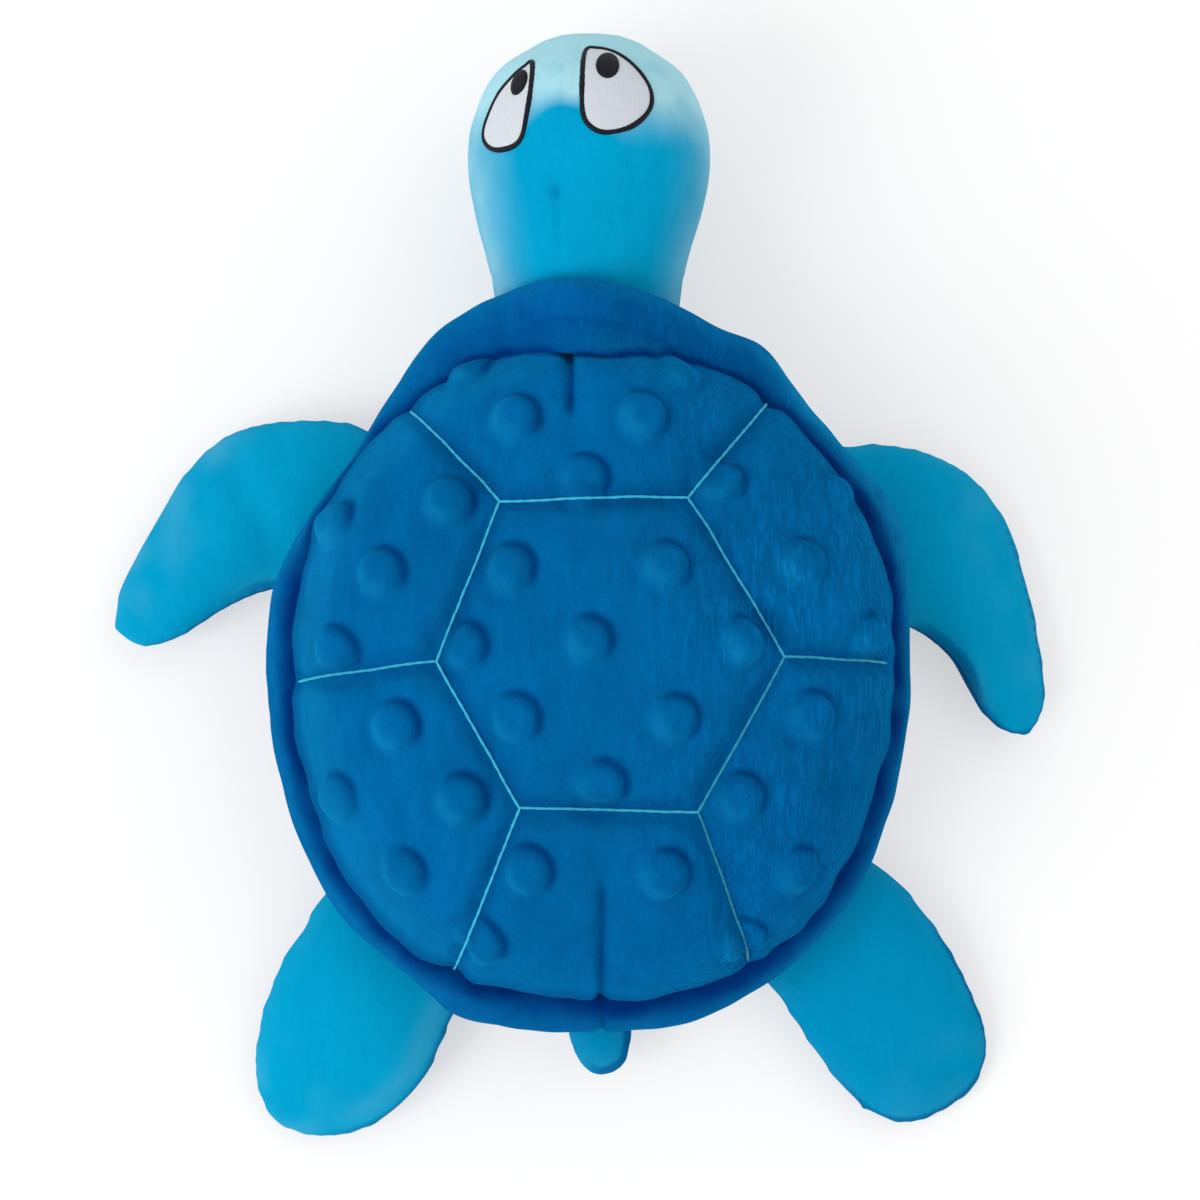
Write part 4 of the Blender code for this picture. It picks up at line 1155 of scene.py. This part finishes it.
class TURTLE_OT_eyes(bpy.types.Operator):
    """Embroiders the eyes: white thread, a black satin border and a pupil"""
    bl_idname = "turtle.eyes"
    bl_label = "Eyes"

    def execute(self, context):
        skin = settings("skin")
        white = thread_material(
            "white_thread_finish", skin.white_colour, "X",
            roughness=0.6, sheen=0.1, line_scale=700, depth=0.06 * MM)
        black = thread_material(
            "black_thread_finish", skin.black_colour, "Y",
            roughness=0.5, sheen=0.0, line_scale=700, depth=0.05 * MM)
        tree = BVHTree.FromObject(bpy.data.objects["head_skin"], context.evaluated_depsgraph_get())

        def on_head(place, lift=0.0):
            """The point of the head that the camera sees at a place on the picture, and the way out there."""
            hit = tree.ray_cast(*view_ray(place))
            return hit[0] + hit[1] * (lift * MM), hit[1]

        def patch(name, middle, edge, profile):
            """A raised patch of thread within an edge, with a profile of shares and lifts."""
            rings = [[on_head(middle + (spot - middle) * share, lift)[0] for spot in edge]
                     for share, lift in profile]
            return ring_mesh(name, rings, *[on_head(middle, profile[row][1])[0] for row in (0, -1)])

        for side, places in (("left", LEFT_EYE), ("right", RIGHT_EYE)):
            outline = [Vector(place) for place in places]
            edge = [smooth_curve(outline, step / 110) for step in range(110)]
            obj = patch(side + "_eye_thread", Vector(EYE_CENTRES[side]), edge, WHITE_PROFILE)
            dress(obj, white, "white_thread", "head", [side + "_eye_white"])
            spots = [on_head(spot) for spot in edge]
            rings = []
            for step, (spot, normal) in enumerate(spots):
                run = (spots[(step + 1) % len(spots)][0] - spots[step - 1][0]).normalized()
                across = normal.cross(run).normalized()
                width = skin.border_width / 2 * (1 + 0.22 * lumps(spot, 4 * MM, 21))
                width *= 1.07 if step % 2 else 0.95
                high = normal * skin.border_height
                rings.append([
                    spot + across * (width * cos(angle)) + high * max(-0.8, sin(angle))
                    for angle in circle(12)])
            obj = closed_tube(side + "_eye_satin", rings)
            dress(obj, black, "black_thread", "head", [side + "_eye_border"])
            place, wide, long, lean = PUPILS[side]
            middle = Vector(place)
            lean = Matrix.Rotation(radians(lean), 2)
            edge = [middle + lean @ Vector((wide * cos(angle), long * sin(angle))) for angle in circle(48)]
            obj = patch(side + "_eye_dot", middle, edge, PUPIL_PROFILE)
            dress(obj, black, "black_thread", "head", [side + "_eye_pupil"])
        return {"FINISHED"}


class TURTLE_OT_limbs(bpy.types.Operator):
    """Makes the four flippers and the tail, each stuffed and sewn round its edge"""
    bl_idname = "turtle.limbs"
    bl_label = "Flippers and tail"

    def execute(self, context):
        for number, limb in enumerate(LIMBS):
            self.make(number, *limb)
        return {"FINISHED"}

    def make(self, number, name, hinge, heading, root, length, thick, painted_dimming, shares):
        skin = settings("skin")
        reach = length * MM
        matrix = limb_matrix(hinge, heading)
        inverse = matrix.inverted()
        outline = []
        for x, y in shares:
            spot = matrix @ Vector((x * root * MM, y * reach, 0))
            seen = under_view((spot.x / MM, spot.y / MM), max(spot.z, 4 * MM))
            outline.append((inverse @ spot.lerp(seen, ease(-0.1, 0.35, y))).to_2d())
        if outline[0].x < 0:
            outline = outline[::-1]
        middle = sum(outline, Vector((0, 0))) / len(outline)
        edge = [smooth_curve(outline, step / 120) for step in range(120)]
        fold_start, fold_end = (flat(inverse @ Vector((x * MM, y * MM, HINGE_HEIGHT))) for x, y in ARM_FOLD)

        def depth(y):
            """Half thickness in the middle of the limb, which is thinner at the root."""
            return thick * MM * (0.60 + 0.34 * ease(0, 0.62, y / reach))

        def edge_distance(point):
            plan = point.to_2d()
            return min((plan - spot).length for spot in edge)

        def held(point):
            return 1.0 if point.y < 2.5 * MM or edge_distance(point) < 1.6 * MM else 0.0

        def sewn(point):
            """How far a point moves out, and its levels of painted shade and painted sheen."""
            near = edge_distance(point)
            seam = hill(point.z, 0.55 * MM) * ease(-MM, 4 * MM, point.y)
            seam *= 1 - ease(1.2 * MM, 3.5 * MM, near)
            amount = -0.4 * MM * seam
            amount += (1 - ease(MM, 7 * MM, near)) * 0.05 * MM * lumps(point, 5 * MM, 30 + number)
            amount += 0.3 * MM * ease(MM, 8 * MM, near) * lumps(point, 15 * MM, 40 + number)
            if name == "front_flipper_left" and point.z > 0:
                amount -= 1.2 * MM * hill(line_distance(flat(point), fold_start, fold_end)[0], 5 * MM)
            way = (matrix.to_3x3() @ (point.to_2d() - middle).to_3d()).normalized()
            far = ease(0.1, 0.7, way.dot(SHADED_SIDE))
            # Painted shade over the whole limb, along the edge seam, at the root, on the underside and along
            # the edge away from the light.
            shade = painted_dimming + 0.5 * seam + 0.4 * (1 - ease(-3 * MM, 3 * MM, point.y))
            shade += 0.35 * (1 - ease(-1.5 * MM, 0, point.z))
            shade += 0.5 * far * (1 - ease(0.7 * MM, 1.8 * MM, near))
            # Painted sheen highlight at the tip, along the edge and beside the shaded edge of the rear left
            # flipper.
            tip = ease(0.62, 1.0, point.y / reach) * max(0.0, 0.35 + lumps(point, 9 * MM, 52))
            glow = (0.12 if name.endswith("left") else 0.04) * tip
            glow += 0.03 * (1 - ease(0.5 * MM, 5 * MM, near)) * max(0.0, 0.4 + lumps(point, 12 * MM, 50))
            if name == "rear_flipper_left":
                glow += 0.06 * far * hill(near - 4.5 * MM, 2.5 * MM)
            return amount, min(1.0, shade), glow

        shares = [row / 14 for row in range(1, 15)]
        rings = []
        for side, order in ((-1, shares), (1, shares[::-1])):
            for share in order:
                ring = []
                for spot in edge:
                    growth = (1.2 + 0.6 * ease(0.6, 1, spot.y / reach)) * MM
                    plan = middle + (spot - middle) * (share * (1 + growth / (spot - middle).length))
                    height = depth(plan.y) * sqrt(1 - min(share, 0.999) ** 2.2) + 0.5 * MM
                    ring.append(Vector((*plan, side * height)))
                rings.append(ring)
        ends = [Vector((*middle, side * (depth(middle.y) + 0.5 * MM))) for side in (-1, 1)]
        obj = ring_mesh(name + "_skin", rings, *ends)
        step = skin.cloth_step / 2 if name == "tail" else skin.cloth_step
        stuff(obj, step, growth=0.006, cap=3 * MM, held=held)
        even_out(obj, 9)
        subdivide(obj, 2)
        amounts, creases, glows = read_points(obj, sewn)
        move_out(obj, amounts)
        even_out(obj, 6)
        obj.data.transform(matrix)
        lift_from_floor(obj, 0.1 * MM)
        nodes = [name + ending for ending in ("_top_panel", "_bottom_panel", "_filling")]
        dress(obj, bpy.data.materials["velour_finish"], "cyan_velour", None, nodes, fill=0.7,
              crease=creases, glow=glows)
        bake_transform(obj)


class TURTLE_PT_panel(bpy.types.Panel):
    """Lists the steps that build the turtle"""
    bl_idname = "TURTLE_PT_panel"
    bl_label = "Plush turtle"
    bl_space_type = "VIEW_3D"
    bl_region_type = "UI"
    bl_category = "Turtle"

    def draw(self, context):
        for group in ("stage", "shell", "skin"):
            box = self.layout.box()
            values = getattr(context.scene, "turtle_" + group)
            for name in values.bl_rna.properties.keys():
                if name not in ("rna_type", "name"):
                    box.prop(values, name)
        for step in STEPS:
            self.layout.operator(step.bl_idname)


STEPS = (TURTLE_OT_stage, TURTLE_OT_shell, TURTLE_OT_stitching, TURTLE_OT_rim, TURTLE_OT_belly,
         TURTLE_OT_head, TURTLE_OT_eyes, TURTLE_OT_limbs)
GROUPS = {"stage": TurtleStageSettings, "shell": TurtleShellSettings, "skin": TurtleSkinSettings}
CLASSES = tuple(GROUPS.values()) + STEPS + (TURTLE_PT_panel,)


def register():
    for entry in CLASSES:
        bpy.utils.register_class(entry)
    for name, group in GROUPS.items():
        setattr(bpy.types.Scene, "turtle_" + name, bpy.props.PointerProperty(type=group))


def unregister():
    for name in GROUPS:
        delattr(bpy.types.Scene, "turtle_" + name)
    for entry in reversed(CLASSES):
        bpy.utils.unregister_class(entry)


def main():
    register()
    bpy.ops.object.select_all(action="DESELECT")
    bpy.ops.turtle.stage()
    bpy.ops.turtle.shell()
    bpy.ops.turtle.stitching()
    bpy.ops.turtle.rim()
    bpy.ops.turtle.belly()
    bpy.ops.turtle.head()
    bpy.ops.turtle.eyes()
    bpy.ops.turtle.limbs()


if __name__ == "__main__":
    main()
